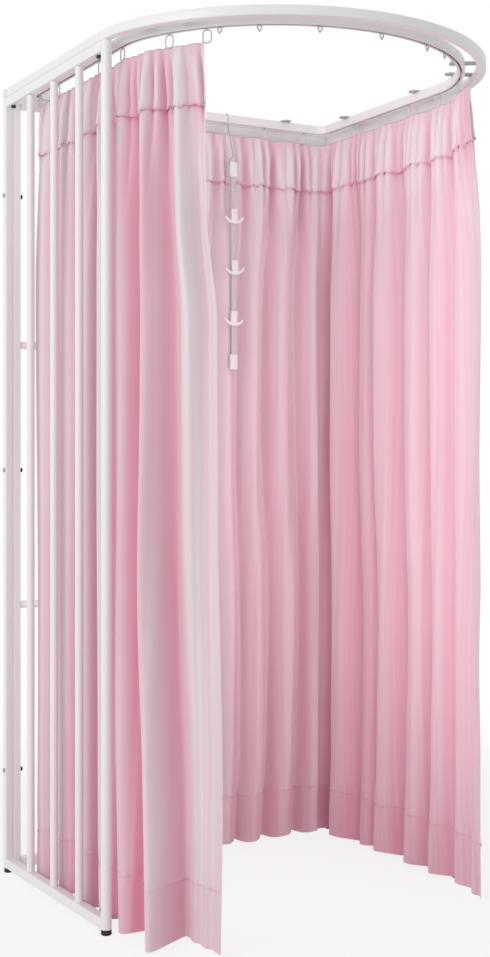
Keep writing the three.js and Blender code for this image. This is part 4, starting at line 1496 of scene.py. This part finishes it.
@dataclass
class Curtain:
    """One cloth: a gathered header on rings, main folds down to a deep hem.

    Its surface is a function of the distance along the track's line and of the height: a
    point of the line is moved inward by the fold wave, which grows from the header down.
    """

    word: str
    line: PlanLine
    folds: list[Fold]
    ridge_share: float
    finishes: Finishes
    bodies: tuple[str, str]
    turn_start: tuple[float, float]
    turn_end: tuple[float, float]
    nodes: tuple[str, ...]
    top: float
    seed: int
    columns: int
    flat_width: float
    sway: Knots
    lead_sway: Knots
    # table of painted light and shade along the cloth
    shade_knots: list[ShadeKnot]
    turn_out: float
    seen_side: int
    flat_length: float = 2.10
    flat_level: float = 0.55
    lead_reach: float = 0.21
    turn_reach: float = 0.12
    top_growth: float = 0.08
    growth_reach: float = 0.24
    hem_power: float = 1.3
    blunt: float = 0.012
    header: float = 0.126
    gather_pitch: float = 0.031
    gather_depth: float = 0.0115
    gather_top: float = 0.22
    crest_power: float = 0.42
    tooth_depth: float = 0.0120
    tooth_peak: float = 0.62
    hem_gap: float = 0.014
    hem_lean: float = 0.13
    hem: float = 0.125
    ring_pitch: float = 0.124
    band_proud: float = 0.0012
    band_flare: float = 0.0020
    band_turn: float = 0.06
    # painted light and shade of the header's gathers, led over from the cloth's table near the header
    head_shade_knot: ShadeKnot = ShadeKnot(0, 0.66, 0.32, 0, 0.010)
    head_shade_share: float = 0.6
    # painted shadow under the header band's lower edge: its strength between teeth and at a tooth
    header_shadow_strength: tuple[float, float] = (0.25, 0.85)
    # painted shade: darker towards the hem, and darker on the hem below its seam
    low_shade: float = 0.24
    hem_shade: float = 0.10

    @property
    def length(self) -> float:
        """Length of the cloth along the track; the line itself runs on past the leading edge."""
        return float(self.line.lengths()[-1]) - LEAD_SPARE

    def wander(self, kind: Wander, where: Array) -> Array:
        """One of the cloth's seeded wanders at given places."""
        amount, pitch, step = kind.value
        return amount * drift(where, pitch, self.seed + step)

    def wave(self, along: Array, level: Array) -> Array:
        """The main folds in metres inward, at a distance along the cloth and a level down it.

        Each fold's place and depth run from its top values to its hem values with the level to
        the hem power, and neighbours are joined by an arch. The depth grows to its whole from the
        top growth, along a quarter of a sine wave.

        Args:
            along: Distances along the cloth.
            level: 0 at the top edge, 1 at the hem.

        Returns:
            The depth in metres, in the shape of both together.
        """
        along, level = np.broadcast_arrays(along, level)
        lowered = np.clip(level, 0, 1) ** self.hem_power
        rising = np.sin(np.clip(level / self.growth_reach, 0, 1) * np.pi / 2)
        knots = [fold.at(lowered, self.top_growth + (1 - self.top_growth) * rising) for fold in self.folds]
        wave = np.zeros(along.shape)
        for (start, first), (end, second) in zip(knots[:-1], knots[1:]):
            share = np.clip((along - start) / (end - start), 0, 1)
            ease = 1 - self.arch(1 - share) if second.mean() < first.mean() else self.arch(share)
            wave += (second - first) * ease
        return wave + knots[0][1]

    def arch(self, share: Array) -> Array:
        """Half a cosine wave from 0 to 1, raised to the ridge share so that inner ridges are broader.

        Args:
            share: Share of the way from a valley to a ridge.

        Returns:
            The share of the rise.
        """
        rising = (1 - np.cos(np.pi * share)) / 2
        low = self.blunt**self.ridge_share
        return ((rising + self.blunt * (1 - rising)) ** self.ridge_share - low) / (1 - low)

    def gather(self, along: Array) -> Array:
        """The header's small pleats: a sine of wandering pitch and depth, its crests broadened.

        Args:
            along: Distances along the cloth.

        Returns:
            About -1 to 1, inward of the room.
        """
        phase = along / self.gather_pitch + self.wander(Wander.GATHER_PLACE, along)
        depth = np.clip(0.85 + self.wander(Wander.GATHER_DEPTH, along), 0.35, 1.3)
        pleat = 2 * ((1.004 + np.sin(2 * np.pi * phase)) / 2) ** self.crest_power - 1
        return self.seen_side * depth * pleat

    def offset(self, along: Array, drop: Array) -> Array:
        """How far inside the line the cloth is at a distance along it and a drop below its top.

        The main folds, the header's gathers that fade below it, fine creases and the seams are
        added, less the turn outward at the leading edge.

        Args:
            along: Distances along the cloth.
            drop: Drops below the top edge.

        Returns:
            Metres inward.
        """
        level = self.share_at(drop)
        bow = np.sin(np.pi * np.clip(level, 0, 1))
        lean = self.wander(Wander.FOLD_LEAN, along * 0.9 + level * 0.35) * bow
        vary = 1 + self.wander(Wander.FOLD_DEPTH, along + level * 0.3) * bow
        main = vary * self.wave(along - lean - eased(level, self.sway), level)
        fade = 1 - smooth_step((drop - 0.6 * self.header) / 0.30)
        swell = self.gather_top + (1 - self.gather_top) * smooth_step(drop / 0.07)
        small = self.gather_depth * swell * fade * self.gather(along)
        crease = self.wander(Wander.CREASE, along + 0.05 * level) * smooth_step((level - 0.1) / 0.3)
        past = np.clip((along - self.length + self.turn_reach) / self.turn_reach, 0, 1)
        out = self.turn_out * (past**3 + (smooth_step(past) - past**3) * smooth_step(level / 0.12))
        return main + small + crease - out + self.seams(along, drop)

    def seams(self, along: Array, drop: Array) -> Array:
        """Grooves and puckers of the header seam and of the hem seam.

        Args:
            along: Distances along the cloth.
            drop: Drops below the top edge.

        Returns:
            Metres inward.
        """
        total = np.zeros(np.broadcast(along, drop).shape)
        ripple = np.sin(2 * np.pi * along / 0.012 + self.wander(Wander.PUCKER, along))
        for where, groove, pucker in ((self.header + 0.006, 0.0022, 0.0010), (self.hem_drop, 0.0020, 0.0014)):
            near = np.exp(-(((drop - where) / 0.0028) ** 2))
            wide = np.exp(-(((drop - where) / 0.014) ** 2))
            total += -self.seen_side * groove * near + pucker * wide * ripple
        return total

    def bottom(self, along: Array) -> Array:
        """Height of the hem: a little lower where the cloth stands outside, with a slow wander."""
        lean = self.hem_lean * self.wave(along, np.array(1.0))
        return self.hem_gap + lean + self.wander(Wander.HEM_HEIGHT, along)

    def scallop(self, along: Array) -> Array:
        """How far the top edge hangs down between rings."""
        hang = 0.002 * (1 - np.cos(2 * np.pi * along / self.ring_pitch)) / 2
        return hang + 0.0006 * self.gather(along) + 0.0012

    def surface(self, along: Array, share: Array, proud: Array | float = 0.0) -> Array:
        """Points of the cloth.

        Args:
            along: Distances along the line.
            share: 0 at the top edge, 1 at the hem.
            proud: Extra distance outward from the room.

        Returns:
            Points with the shape of along and share together.
        """
        along, share = np.broadcast_arrays(along, share)
        upper = self.top - self.scallop(along)
        z = upper + (self.bottom(along) - upper) * share
        near_lead = smooth_step((along - self.length + self.lead_reach) / self.lead_reach)
        lead = eased(self.share_at(self.top - z), self.lead_sway) * near_lead
        place = self.line.at(along + lead)
        inward = self.offset(along, self.top - z) - proud
        plan = place.points + inward[..., None] * place.inward
        return np.concatenate([plan, z[..., None]], axis=-1)

    def share_at(self, drop: Array | float) -> Array:
        """The share of the cloth's height at a drop below its top."""
        return np.asarray(drop) / (self.top - self.hem_gap)

    @property
    def hem_drop(self) -> float:
        """Drop of the hem seam below the top edge."""
        return self.top - self.hem_gap - self.hem

    def rows(self) -> Array:
        """Shares of the rows: close together at the header and the hem, closest at the hem seam.

        Returns:
            The shares, from 0 to 1.
        """
        head, hem = float(self.share_at(self.header + 0.02)), 1 - float(self.share_at(self.hem + 0.02))
        near = np.array([0.0007, 0.002, 0.004, 0.007, 0.011])
        seam = self.share_at(self.hem_drop + np.concatenate([-near[::-1], near]))
        return np.concatenate([np.linspace(0, head, 30)[:-1], np.linspace(head, hem, 78)[:-1],
                               np.linspace(hem, seam[0], 3)[:-1], seam, np.linspace(seam[-1], 1, 16)[1:]])

    def flat_along(self, along: Array) -> Array:
        """Distance in the flat cloth: the length of the folded line at the flat level."""
        points = self.surface(along, np.full(along.shape, self.flat_level))[:, :2]
        return np.concatenate([[0.0], np.cumsum(np.linalg.norm(np.diff(points, axis=0), axis=1))])

    @staticmethod
    def sheet_object(name: str, points: Array, uv: Array, flipped: bool) -> bpy.types.Object:
        """A smooth sheet through a grid of points.

        Args:
            name: Name of the object.
            points: (rows, columns, 3) points.
            uv: (rows, columns, 2) places in the flat cloth.
            flipped: True turns its faces round.

        Returns:
            The object.
        """
        quads = grid_quads(*points.shape[:2])
        shell = Shell(points.reshape(-1, 3), [quads[:, ::-1] if flipped else quads], uv.reshape(-1, 2))
        return object_from(name, shell, sharp_degrees=180.0)

    def build(self) -> None:
        """Makes the cloth, its header band and its stitches, gives them the cloth's material and hides the
        nodes they stand for.
        """
        along = np.linspace(0, self.length, self.columns)
        rows = self.rows()
        points = self.surface(along[None, :], rows[:, None])
        flat = self.flat_along(along)
        uv = np.stack(np.broadcast_arrays(flat[None, :], (1 - rows[:, None]) * self.top), axis=-1)
        cloth = self.sheet_object(f"{self.word}_curtain", points, uv, self.seen_side > 0)
        self.add_painted_light(cloth, *np.broadcast_arrays(along[None, :], self.top - points[..., 2]))
        band = self.header_band(along, flat)
        stitches = self.stitches()
        LOG.info("%s curtain: %.3f m of cloth along %.3f m of track", self.word, flat[-1], self.length)
        for piece in (cloth, band, stitches):
            piece.data.materials.append(self.finishes.materials["cloth"])
            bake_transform(piece)
        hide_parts(*self.nodes)

    def add_painted_light(self, obj: bpy.types.Object, along: Array, drop: Array) -> None:
        """Stores the cloth's painted light and shade: painted highlight on ridges and on flanks turned to one
        side.

        The value is base + ridge share * height of the fold + flank share * sine of its slope,
        each share carried along the cloth by its shade table and near the header led over to the
        header's painted light, with fine streaks, less painted shade darkening towards the hem, a
        painted shade on the hem's two layers and a painted shadow under the header band's edge,
        within 0 and 1.

        Args:
            obj: The cloth or its header band.
            along: Distance along the cloth of each point.
            drop: Drop below the top edge of each point.
        """
        step = 0.004
        here = self.seen_side * self.offset(along, drop)
        slope = (self.seen_side * self.offset(along + step, drop) - here) / step
        places, *tables = zip(*map(astuple, self.shade_knots))
        base, ridge, flank, deep = (eased(along / self.length, list(zip(places, table))) for table in tables)
        head = 1 - smooth_step((drop - 0.7 * self.header) / 0.20)
        deep = deep + (self.head_shade_knot.depth - deep) * head
        ridge = ridge + (self.head_shade_knot.ridge - ridge) * head
        base = base + (self.head_shade_knot.base - base) * self.head_shade_share * head
        # painted highlight on ridges, painted shade in valleys, slopes painted lighter or darker as if lit
        # from one side
        height = 2 * ((1 + np.sin(np.clip(here / deep, -1, 1) * np.pi / 2)) / 2) ** 2.2 - 1
        value = base + ridge * height + flank * slope / np.sqrt(1 + slope**2)
        # painted shade: darker towards the hem, and darker again on the hem below its seam
        value -= self.low_shade * drop / self.top + self.hem_shade * (drop > self.hem_drop)
        # painted shadow just under the header band's lower edge, strongest at its teeth
        below = drop - self.header_edge(along)
        between, at_tooth = self.header_shadow_strength
        header_shadow = smooth_step(below / 0.001) * np.exp(-np.clip(below, 0, None) / 0.007)
        value -= (between + at_tooth * self.tooth(along)) * header_shadow
        value += self.wander(Wander.STREAK, along) + self.wander(Wander.FINE_STREAK, along)
        layer = obj.data.attributes.new(PAINTED_LIGHT, "FLOAT", "POINT")
        layer.data.foreach_set("value", np.clip(value, 0, 1).astype(np.float32).ravel())

    def tooth(self, along: Array) -> Array:
        """The header edge's teeth, 0 to about 0.63: each rises slowly and falls back fast."""
        phase = (along / (1.05 * self.gather_pitch) + self.wander(Wander.TOOTH_PLACE, along)) % 1.0
        return phase - smooth_step((phase - self.tooth_peak) / (1 - self.tooth_peak))

    def header_edge(self, along: Array) -> Array:
        """Drop of the header's stitched lower edge: teeth that sink slowly and jump back up."""
        ripple = self.tooth_depth * self.tooth(along)
        return self.header + 0.002 + ripple + self.wander(Wander.HEADER_EDGE, along)

    def header_band(self, along: Array, flat: Array) -> bpy.types.Object:
        """The header band: a strip sewn over the top edge, down both faces to the header seam.

        Across the band, the share runs from the seam on one face over the top to the seam on
        the other, and each face stands a little proud, flares at its lower edge and is pinched
        at the cloth's two ends.

        Args:
            along: Distances along the line.
            flat: The same distances in the flat cloth.

        Returns:
            The band.
        """
        face = np.linspace(self.band_turn, 1, 17)
        across = np.concatenate([-face[::-1], np.linspace(-0.045, 0.045, 5), face])
        share = self.share_at(np.abs(across)[:, None] * self.header_edge(along)[None, :])
        flare = self.band_flare * smooth_step((np.abs(across) - 0.78) / 0.22)
        flare = flare[:, None] * (1 + 1.2 * self.tooth(along))[None, :]
        pinched = np.clip(np.minimum(along, self.length - along) / 0.004, 0.15, 1)
        proud = np.clip(across / 0.05, -1, 1)[:, None] * (self.band_proud + flare) * pinched
        points = self.surface(along[None, :], share, proud)
        lift = self.band_proud * np.sqrt(np.clip(1 - (across / self.band_turn) ** 2, 0, 1))
        points[..., 2] += lift[:, None]
        uv = np.stack(np.broadcast_arrays(flat[None, :], across[:, None] * self.header), axis=-1)
        band = self.sheet_object(f"{self.word}_header_band", points, uv, self.seen_side < 0)
        self.add_painted_light(band, *np.broadcast_arrays(along[None, :], self.top - points[..., 2]))
        return band

    def stitches(self) -> bpy.types.Object:
        """Rows of stitches on both faces, along the header seam and the hem seam.

        Each stitch is a short bar with six sides whose ends lie on the cloth or the band.

        Returns:
            The stitches as one object.
        """
        pitch, reach, thick = 0.0052, 0.0034, 0.00045
        along = np.arange(pitch, self.length - pitch, pitch)
        shells = []
        for drop, lift in ((self.header - 0.004, self.band_flare), (self.hem_drop, 0.0005)):
            share = np.full(along.shape, float(self.share_at(drop)))
            for face in (-1, 1):
                start, end = (self.surface(along + way * reach / 2, share, face * lift) for way in (-1, 1))
                shells.append(self.thread_bars(start, end, thick))
        return object_from(f"{self.word}_stitches", shells[0].merged(*shells[1:]))

    @staticmethod
    def thread_bars(start: Array, end: Array, thick: float) -> Shell:
        """Six-sided bars between pairs of points, made as whole arrays.

        Args:
            start: (n, 3) first ends.
            end: (n, 3) last ends.
            thick: Half the thread's thickness.

        Returns:
            The closed shell of all bars.
        """
        aim = end - start
        aim /= np.linalg.norm(aim, axis=1, keepdims=True)
        up = np.array([0.0, 0.0, 1.0]) - aim[:, 2:] * aim
        up /= np.linalg.norm(up, axis=1, keepdims=True)
        aside = np.cross(aim, up)
        section = circle(thick, 6)[None, :, :, None]
        ring = section[:, :, 0] * up[:, None] + section[:, :, 1] * aside[:, None]
        points = np.stack([start[:, None] + ring, end[:, None] + ring], axis=1)
        first = np.arange(len(start))[:, None] * 12
        side = np.arange(6)
        quads = np.stack([side, (side + 1) % 6, (side + 1) % 6 + 6, side + 6], axis=-1)
        walls = (first[:, :, None] + quads[None]).reshape(-1, 4)
        caps = np.concatenate([first + side[::-1], first + 6 + side])
        return Shell(points.reshape(-1, 3), [walls, caps]).outward()


# Hook strip


@dataclass
class HookStrip:
    """A wire over the back track, a tape with end blocks, and three cross hooks on pivots."""

    finishes: Finishes
    tilts: tuple[float, float, float] = (0.0, 4.0, -4.0)
    block: tuple[float, float, float] = (0.022, 0.009, 0.041)
    block_rounding: float = 0.0024
    tape_size: tuple[float, float] = (0.012, 0.0022)
    tape_rounding: float = 0.0009
    pivot_radius: float = 0.003
    pivot_head: float = 0.00475
    wire_radius: float = 0.0015
    wire_bend: float = 0.0045
    wire_depth: float = 0.0216
    wire_knee: float = 0.026
    wire_tail: float = 0.013
    hub_size: tuple[float, float] = (0.0196, 0.0078)
    hub_reach: tuple[float, float] = (-0.0298, 0.0098)
    rounding: float = 0.0028
    span: float = 0.062
    tip: float = 0.0022
    rise: float = 0.0155
    arm_drop: float = 0.0265
    arm_section: tuple[float, float] = (0.0078, 0.0082)

    def build(self) -> None:
        """Makes the wire, the tape and the hooks."""
        self.wire()
        self.tape()
        for number, tilt in enumerate(self.tilts, start=1):
            self.hook(number, tilt)

    def wire(self) -> None:
        """The bent wire: down behind the track, over it, down in front and through the top block."""
        low, high, size, (x, _, _) = node_box("strip_wire_hook")
        radius = self.wire_radius
        top, jog = high[2] - radius, size[0] / 2 - radius
        behind, before = high[1] - radius, high[1] - self.wire_depth
        strip_y, axis_z = low[1] + radius, low[2] + radius
        shoulder = float(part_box("hook_strip_tape")[1][2]) + 2 * radius
        knee = float(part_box("track_back")[1][2]) - self.wire_knee
        points = [(x, behind, knee + self.wire_tail), (x, behind, top), (x, before, top), (x, before, knee),
                  (x, strip_y, shoulder + 0.012), (x - jog, strip_y, shoulder),
                  (x - jog, strip_y, axis_z), (x + jog, strip_y, axis_z)]
        shell = bar_along(bent_path(points, self.wire_bend), circle(radius, 12), (1.0, 0.36, -0.22))
        self.finishes.dress(object_from("strip_wire", shell), "wire", "strip_wire", "strip_wire_hook")

    def tape(self) -> None:
        """The tape with its two blocks and the pivot pins."""
        low, high, _, (x, _, _) = node_box("hook_strip_tape")
        wide, deep, tall = self.block
        y = high[1] - deep / 2
        top_block, end_block = (self.upright((x, y), (wide, deep), (z, z + tall), self.block_rounding)
                                for z in (high[2] - tall, low[2]))
        reach = (low[2] + tall / 2, high[2] - tall / 2)
        strap = self.upright((x, y), self.tape_size, reach, self.tape_rounding)
        pin = np.array([[self.pivot_radius, 0.0], [self.pivot_radius, low[1] - y + 0.0014]])
        head = np.array([[self.pivot_head, 0.0015], [self.pivot_head, 0.0006], [self.pivot_head * 0.8, 0.0]])
        pins = []
        for z in map(self.pivot_z, (1, 2, 3)):
            pins += [turned(pin, (x, y, z), Axis.Y, sides=20), turned(head, (x, low[1], z), Axis.Y, sides=24)]
        shell = end_block.merged(top_block, *pins)
        self.finishes.dress(object_from("hook_strip", shell), "hook", "hook_strip", "hook_strip_tape")
        self.finishes.dress(object_from("hook_strip_band", strap), "loop", "hook_strip")

    @staticmethod
    def upright(place: tuple[float, float], size: tuple[float, float], heights: tuple[float, float],
                rounding: float) -> Shell:
        """An upright block with rounded edges about a place in plan.

        Args:
            place: Its middle in plan.
            size: Its width and depth.
            heights: Its lowest and highest height.
            rounding: Radius of its upright edges.

        Returns:
            The closed shell.
        """
        half, (low, high) = np.array(size) / 2, heights
        return rounded_block(np.append(place - half, low), np.append(place + half, high), rounding)

    def pivot_z(self, number: int) -> float:
        """Height of a hook's pivot, from the frame's joint."""
        return next(joint["pos_m"][2] for joint in frame["joints"] if joint["name"] == f"hook_{number}_tilt")

    def hook(self, number: int, tilt: float) -> None:
        """A cross hook: a rounded hub and two arms that curve up like a smile to round tips.

        The arms' middle line is z = rise * |x / half span| ** 2.4, turned by the tilt about the pivot.

        Args:
            number: 1 to 3 from the top.
            tilt: Its lean in degrees.
        """
        node = f"cross_hook_{number}"
        x, y, _ = node_box(node)[3]
        place = np.array([x, y, self.pivot_z(number)])
        hub = self.upright((0.0, 0.0), self.hub_size, self.hub_reach, self.rounding)
        across = np.linspace(-1, 1, 61)
        arm_z = self.rise * np.abs(across) ** 2.4 - self.arm_drop
        path = np.column_stack([(self.span / 2 - self.tip) * across, np.zeros(len(across)), arm_z])
        size = np.sqrt(np.clip(1 - np.abs(across) ** 14, 0.05, 1)) * (1 - 0.25 * across**2)
        section = rounded_outline(*self.arm_section, self.rounding)
        shell = hub.merged(bar_along(path, section, (0.0, 1.0, 0.0), size=size))
        cos, sin = math.cos(math.radians(tilt)), math.sin(math.radians(tilt))
        turn = np.array([[cos, 0.0, sin], [0.0, 1.0, 0.0], [-sin, 0.0, cos]])
        moulding = object_from(f"{node}_moulding", Shell(shell.points @ turn + place, shell.faces))
        self.finishes.dress(moulding, "hook", f"hook_{number}", node)


# Stage


AMBIENT = 0.61
WHITE = (1.0, 1.0, 1.0, 1.0)


def make_camera() -> None:
    """The camera of the photograph: level, at eye height of the room's middle, turned to the right."""
    frame_height, focal_pixels, horizon_row = 957.0, 1517.0, 471.2
    turn_degrees = 29.46
    data = bpy.data.cameras.new("camera")
    data.sensor_width = data.sensor_height = 36.0
    data.sensor_fit = "VERTICAL"
    data.lens = focal_pixels / frame_height * data.sensor_height
    data.shift_y = -(frame_height / 2 - horizon_row) / frame_height
    camera = bpy.data.objects.new("camera", data)
    camera.location = (-1.866, -3.171, 1.025)
    camera.rotation_euler = (math.pi / 2, 0.0, -math.radians(turn_degrees))
    bpy.context.scene.collection.objects.link(camera)
    bpy.context.scene.camera = camera


@dataclass(frozen=True)
class SoftLamp:
    """A soft lamp of a given width and height that looks at a point and isn't seen itself."""

    name: str
    place: Point
    aim: Point
    size: tuple[float, float]
    power: float

    def build(self) -> None:
        """Makes the lamp; it is turned so that its -Z points from its place to its aim."""
        data = bpy.data.lights.new(self.name, "AREA")
        data.shape = "RECTANGLE"
        data.size, data.size_y = self.size
        data.energy = self.power
        lamp = bpy.data.objects.new(self.name, data)
        lamp.location = self.place
        lamp.visible_camera = False
        x, y, z = np.array(self.aim) - np.array(self.place)
        lamp.rotation_euler = (math.atan2(math.hypot(x, y), -z), 0.0, math.atan2(-x, y))
        bpy.context.scene.collection.objects.link(lamp)


LAMPS = (
    SoftLamp("key", (-5.8, -1.5, 2.7), (0.0, 0.0, 1.0), (2.4, 2.4), 94.0),
    SoftLamp("cabin", (-0.37, 0.03, 1.10), (0.3, 0.03, 1.10), (0.26, 1.70), 1.1),
    SoftLamp("doorway", (0.06, -0.36, 1.10), (-0.02, 0.45, 1.10), (0.40, 1.70), 3.1),
)


def make_light() -> None:
    """An even world that shows white, a large lamp at the camera's left and two small ones inside."""
    world = bpy.data.worlds.new("studio")
    bpy.context.scene.world = world
    world.use_nodes = True
    tree = Tree(world.node_tree)
    background = world.node_tree.nodes["Background"]
    extra = tree.math("MULTIPLY", tree.seen_directly(), 1.0 - AMBIENT)
    tree.feed(background, "Color", WHITE)
    tree.feed(background, "Strength", tree.math("ADD", extra, AMBIENT))
    for lamp in LAMPS:
        lamp.build()


def make_floor() -> None:
    """A wide pale floor that shows near white to the camera and keeps the soft shadow.

    From the middle out to the outer radius its look goes over from shaded to plain white.
    """
    reach, inner, outer, least = 12.0, 1.2, 3.2, 0.80
    corners = reach * np.array([[-1.0, -1.0, 0.0], [1.0, -1.0, 0.0], [1.0, 1.0, 0.0], [-1.0, 1.0, 0.0]])
    floor = object_from("studio_floor", Shell(corners, [np.array([[0, 1, 2, 3]])]))
    material = bpy.data.materials.new("studio_floor")
    material.use_nodes = True
    tree = Tree(material.node_tree)
    shader = material.node_tree.nodes["Principled BSDF"]
    tree.feed(shader, "Base Color", linear(240, 240, 240))
    tree.feed(shader, "Roughness", 0.9)
    tree.feed(shader, "Specular IOR Level", 0.0)
    glow = tree.add("ShaderNodeEmission", {"Color": WHITE, "Strength": 1.0})
    place = tree.add("ShaderNodeTexCoord").outputs["Object"]
    radius = tree.add("ShaderNodeVectorMath", {0: place}, operation="LENGTH").outputs["Value"]
    span = {"Value": radius, "From Min": inner, "From Max": outer, "To Min": least, "To Max": 1.0}
    fade = tree.add("ShaderNodeMapRange", span, interpolation_type="SMOOTHSTEP").outputs[0]
    share = tree.math("MULTIPLY", tree.seen_directly(), fade)
    mix = tree.add("ShaderNodeMixShader", {0: share, 1: shader.outputs[0], 2: glow.outputs[0]})
    tree.feed(material.node_tree.nodes["Material Output"], "Surface", mix.outputs[0])
    floor.data.materials.append(material)


# The curtains' tables: sway along the cloth by level, folds, and painted light and shade


LEAD_SPARE = 0.060  # how far a curtain's line runs on past its leading edge
REAR_GAP = 0.100
LEAD_OVERHANG = 0.012
LEFT_SWAY = [(0, 0), (0.3, 0.004), (0.6, 0), (1, 0)]
LEFT_LEAD_SWAY = [(0, -0.017), (0.06, -0.009), (0.12, -0.009), (0.18, -0.006), (0.32, 0.018), (0.5, 0.022),
                  (0.87, 0.035), (1, 0.033)]
RIGHT_SWAY = [(0, 0), (0.08, 0), (0.25, -0.014), (0.42, -0.014), (0.70, 0.002), (0.86, -0.003), (1, -0.016)]
RIGHT_LEAD_SWAY = [(0, 0), (0.5, 0.004), (1, -0.004)]
LEFT_FOLDS = [
    Fold(0.000, 0.000, 0.025, 0.025), Fold(0.055, 0.055, -0.027, -0.028), Fold(0.125, 0.125, 0.025, 0.025),
    Fold(0.192, 0.196, -0.027, -0.028), Fold(0.255, 0.262, 0.025, 0.025), Fold(0.316, 0.326, -0.027, -0.028),
    Fold(0.365, 0.380, 0.025, 0.024), Fold(0.410, 0.432, -0.027, -0.028), Fold(0.455, 0.484, 0.027, 0.022),
    Fold(0.505, 0.540, -0.025, -0.033), Fold(0.550, 0.588, 0.028, 0.014), Fold(0.595, 0.637, -0.028, -0.080),
    Fold(0.645, 0.665, 0.028, 0.020), Fold(0.693, 0.696, -0.028, -0.008), Fold(0.730, 0.725, 0.025, -0.030),
    Fold(0.755, 0.755, -0.015, -0.054),
]
RIGHT_FOLD_SHARES = (
    0, 0.028, 0.057, 0.082, 0.11, 0.138, 0.166, 0.192, 0.217, 0.242, 0.264, 0.286, 0.311, 0.336, 0.366, 0.389,
    0.419, 0.448, 0.483, 0.509, 0.543, 0.575,
)
RIGHT_END_FOLDS = (
    (0.622, -0.024), (0.662, 0.010), (0.682, -0.010), (0.710, 0.024), (0.755, -0.024), (0.801, 0.024),
    (0.830, -0.022), (0.858, 0.017), (0.894, -0.024), (0.931, 0.001), (0.962, -0.028), (0.985, -0.012),
    (1.0, -0.026),
)
RIGHT_FOLD_DEPTHS = (-0.032, 0.0262)
# Painted light and shade along each cloth: on the left a pale painted sheen towards the leading edge, on the
# right slopes along the back painted lighter as if lit from the left
LEFT_SHADE_KNOTS = [
    ShadeKnot(0, 0.62, 0.38, 0, 0.026), ShadeKnot(0.66, 0.58, 0.38, 0, 0.026), ShadeKnot(0.75, 0.42, 0.34, 0, 0.040),
    ShadeKnot(0.805, 0.44, 0.40, 0, 0.075), ShadeKnot(0.845, 0.66, 0.36, 0, 0.075), ShadeKnot(0.875, 0.76, 0.20, 0, 0.075),
    ShadeKnot(0.905, 1.04, 0.14, 0, 0.050), ShadeKnot(0.965, 0.98, 0.08, 0, 0.030), ShadeKnot(1, 0.84, 0.05, 0, 0.026),
]
RIGHT_SHADE_KNOTS = [
    ShadeKnot(0, 0.76, 0.05, 0.48, 0.026), ShadeKnot(0.30, 0.76, 0.05, 0.48, 0.026), ShadeKnot(0.42, 0.66, 0.12, 0.12, 0.026),
    ShadeKnot(0.88, 0.66, 0.16, 0, 0.026), ShadeKnot(0.93, 0.85, 0.12, 0, 0.026), ShadeKnot(1, 0.95, 0.10, 0, 0.026),
]


def make_curtains(plan: RoomPlan, track: Track, finishes: Finishes, top: float) -> None:
    """The two curtains under the track's middle line.

    Args:
        plan: The room's plan.
        track: The track that they hang from.
        finishes: The materials.
        top: Height of their top edge.
    """
    offset = track.offset
    overhang = (LEAD_OVERHANG + LEAD_SPARE) / (plan.crown_radius - offset)
    angles = {side: share * plan.crown_angle for side, share in LEAD_SHARES.items()}
    leads = {side: tuple(plan.on_crown(offset, angle).points[0]) for side, angle in angles.items()}
    fronts = {side: plan.front(offset, side, angle - side * overhang) for side, angle in angles.items()}
    rear_y, split_y = plan.back_y - REAR_GAP, plan.tangent_y - 0.010
    edge_x = plan.half_width - offset
    corner = plan.corner(offset, track.corner_radius, RIGHT)
    left = PlanLine.joined(plan.side(offset, LEFT, rear_y, plan.tangent_y), fronts[LEFT])
    right = PlanLine.joined(plan.back(offset, -0.400, corner.points[0][0]), corner,
                            plan.side(offset, RIGHT, corner.points[-1][1], plan.tangent_y), fronts[RIGHT])
    length = float(right.lengths()[-1]) - LEAD_SPARE
    even = zip(RIGHT_FOLD_SHARES, RIGHT_FOLD_DEPTHS * (len(RIGHT_FOLD_SHARES) // 2))
    right_folds = [Fold(share * length, share * length, depth, depth)
                   for share, depth in (*even, *RIGHT_END_FOLDS)]
    Curtain(word="left", line=left, folds=LEFT_FOLDS, ridge_share=1.0, finishes=finishes,
            bodies=(FRAME_BODY, "left_curtain_lead"), turn_start=(-edge_x, split_y), turn_end=leads[LEFT],
            nodes=("left_curtain_side", "left_curtain_front"), top=top, seed=11, columns=520, flat_width=1.16,
            sway=LEFT_SWAY, lead_sway=LEFT_LEAD_SWAY, shade_knots=LEFT_SHADE_KNOTS, turn_out=0.0, seen_side=-1).build()
    Curtain(word="right", line=right, folds=right_folds, ridge_share=0.52, finishes=finishes,
            bodies=(FRAME_BODY, "right_curtain_lead"), turn_start=(edge_x, split_y), turn_end=leads[RIGHT],
            nodes=("right_curtain_back", "right_curtain_side", "right_curtain_front"), top=top, seed=23,
            columns=680, flat_width=2.42, sway=RIGHT_SWAY, lead_sway=RIGHT_LEAD_SWAY, shade_knots=RIGHT_SHADE_KNOTS,
            turn_out=0.020, seen_side=1).build()


def main() -> None:
    """Builds the room's pieces in order, then the stage, and finishes the scene."""
    logging.basicConfig(level=logging.INFO, format="%(name)s %(message)s")
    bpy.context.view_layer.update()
    bpy.context.scene.view_settings.view_transform = "Standard"
    make_camera()
    finishes = Finishes()
    plan = RoomPlan.from_frame()
    track = Track(plan, finishes)
    cloth_top = float(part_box("right_curtain_back")[1][2])
    for side in (LEFT, RIGHT):
        SidePanel(side, finishes).build()
    BackPanel(finishes).build()
    Ring(plan, finishes).build()
    track.build()
    Rings(plan, track, finishes, cloth_top).build()
    make_curtains(plan, track, finishes, cloth_top)
    HookStrip(finishes).build()
    make_floor()
    make_light()
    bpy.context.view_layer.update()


if __name__ == "__main__":
    main()
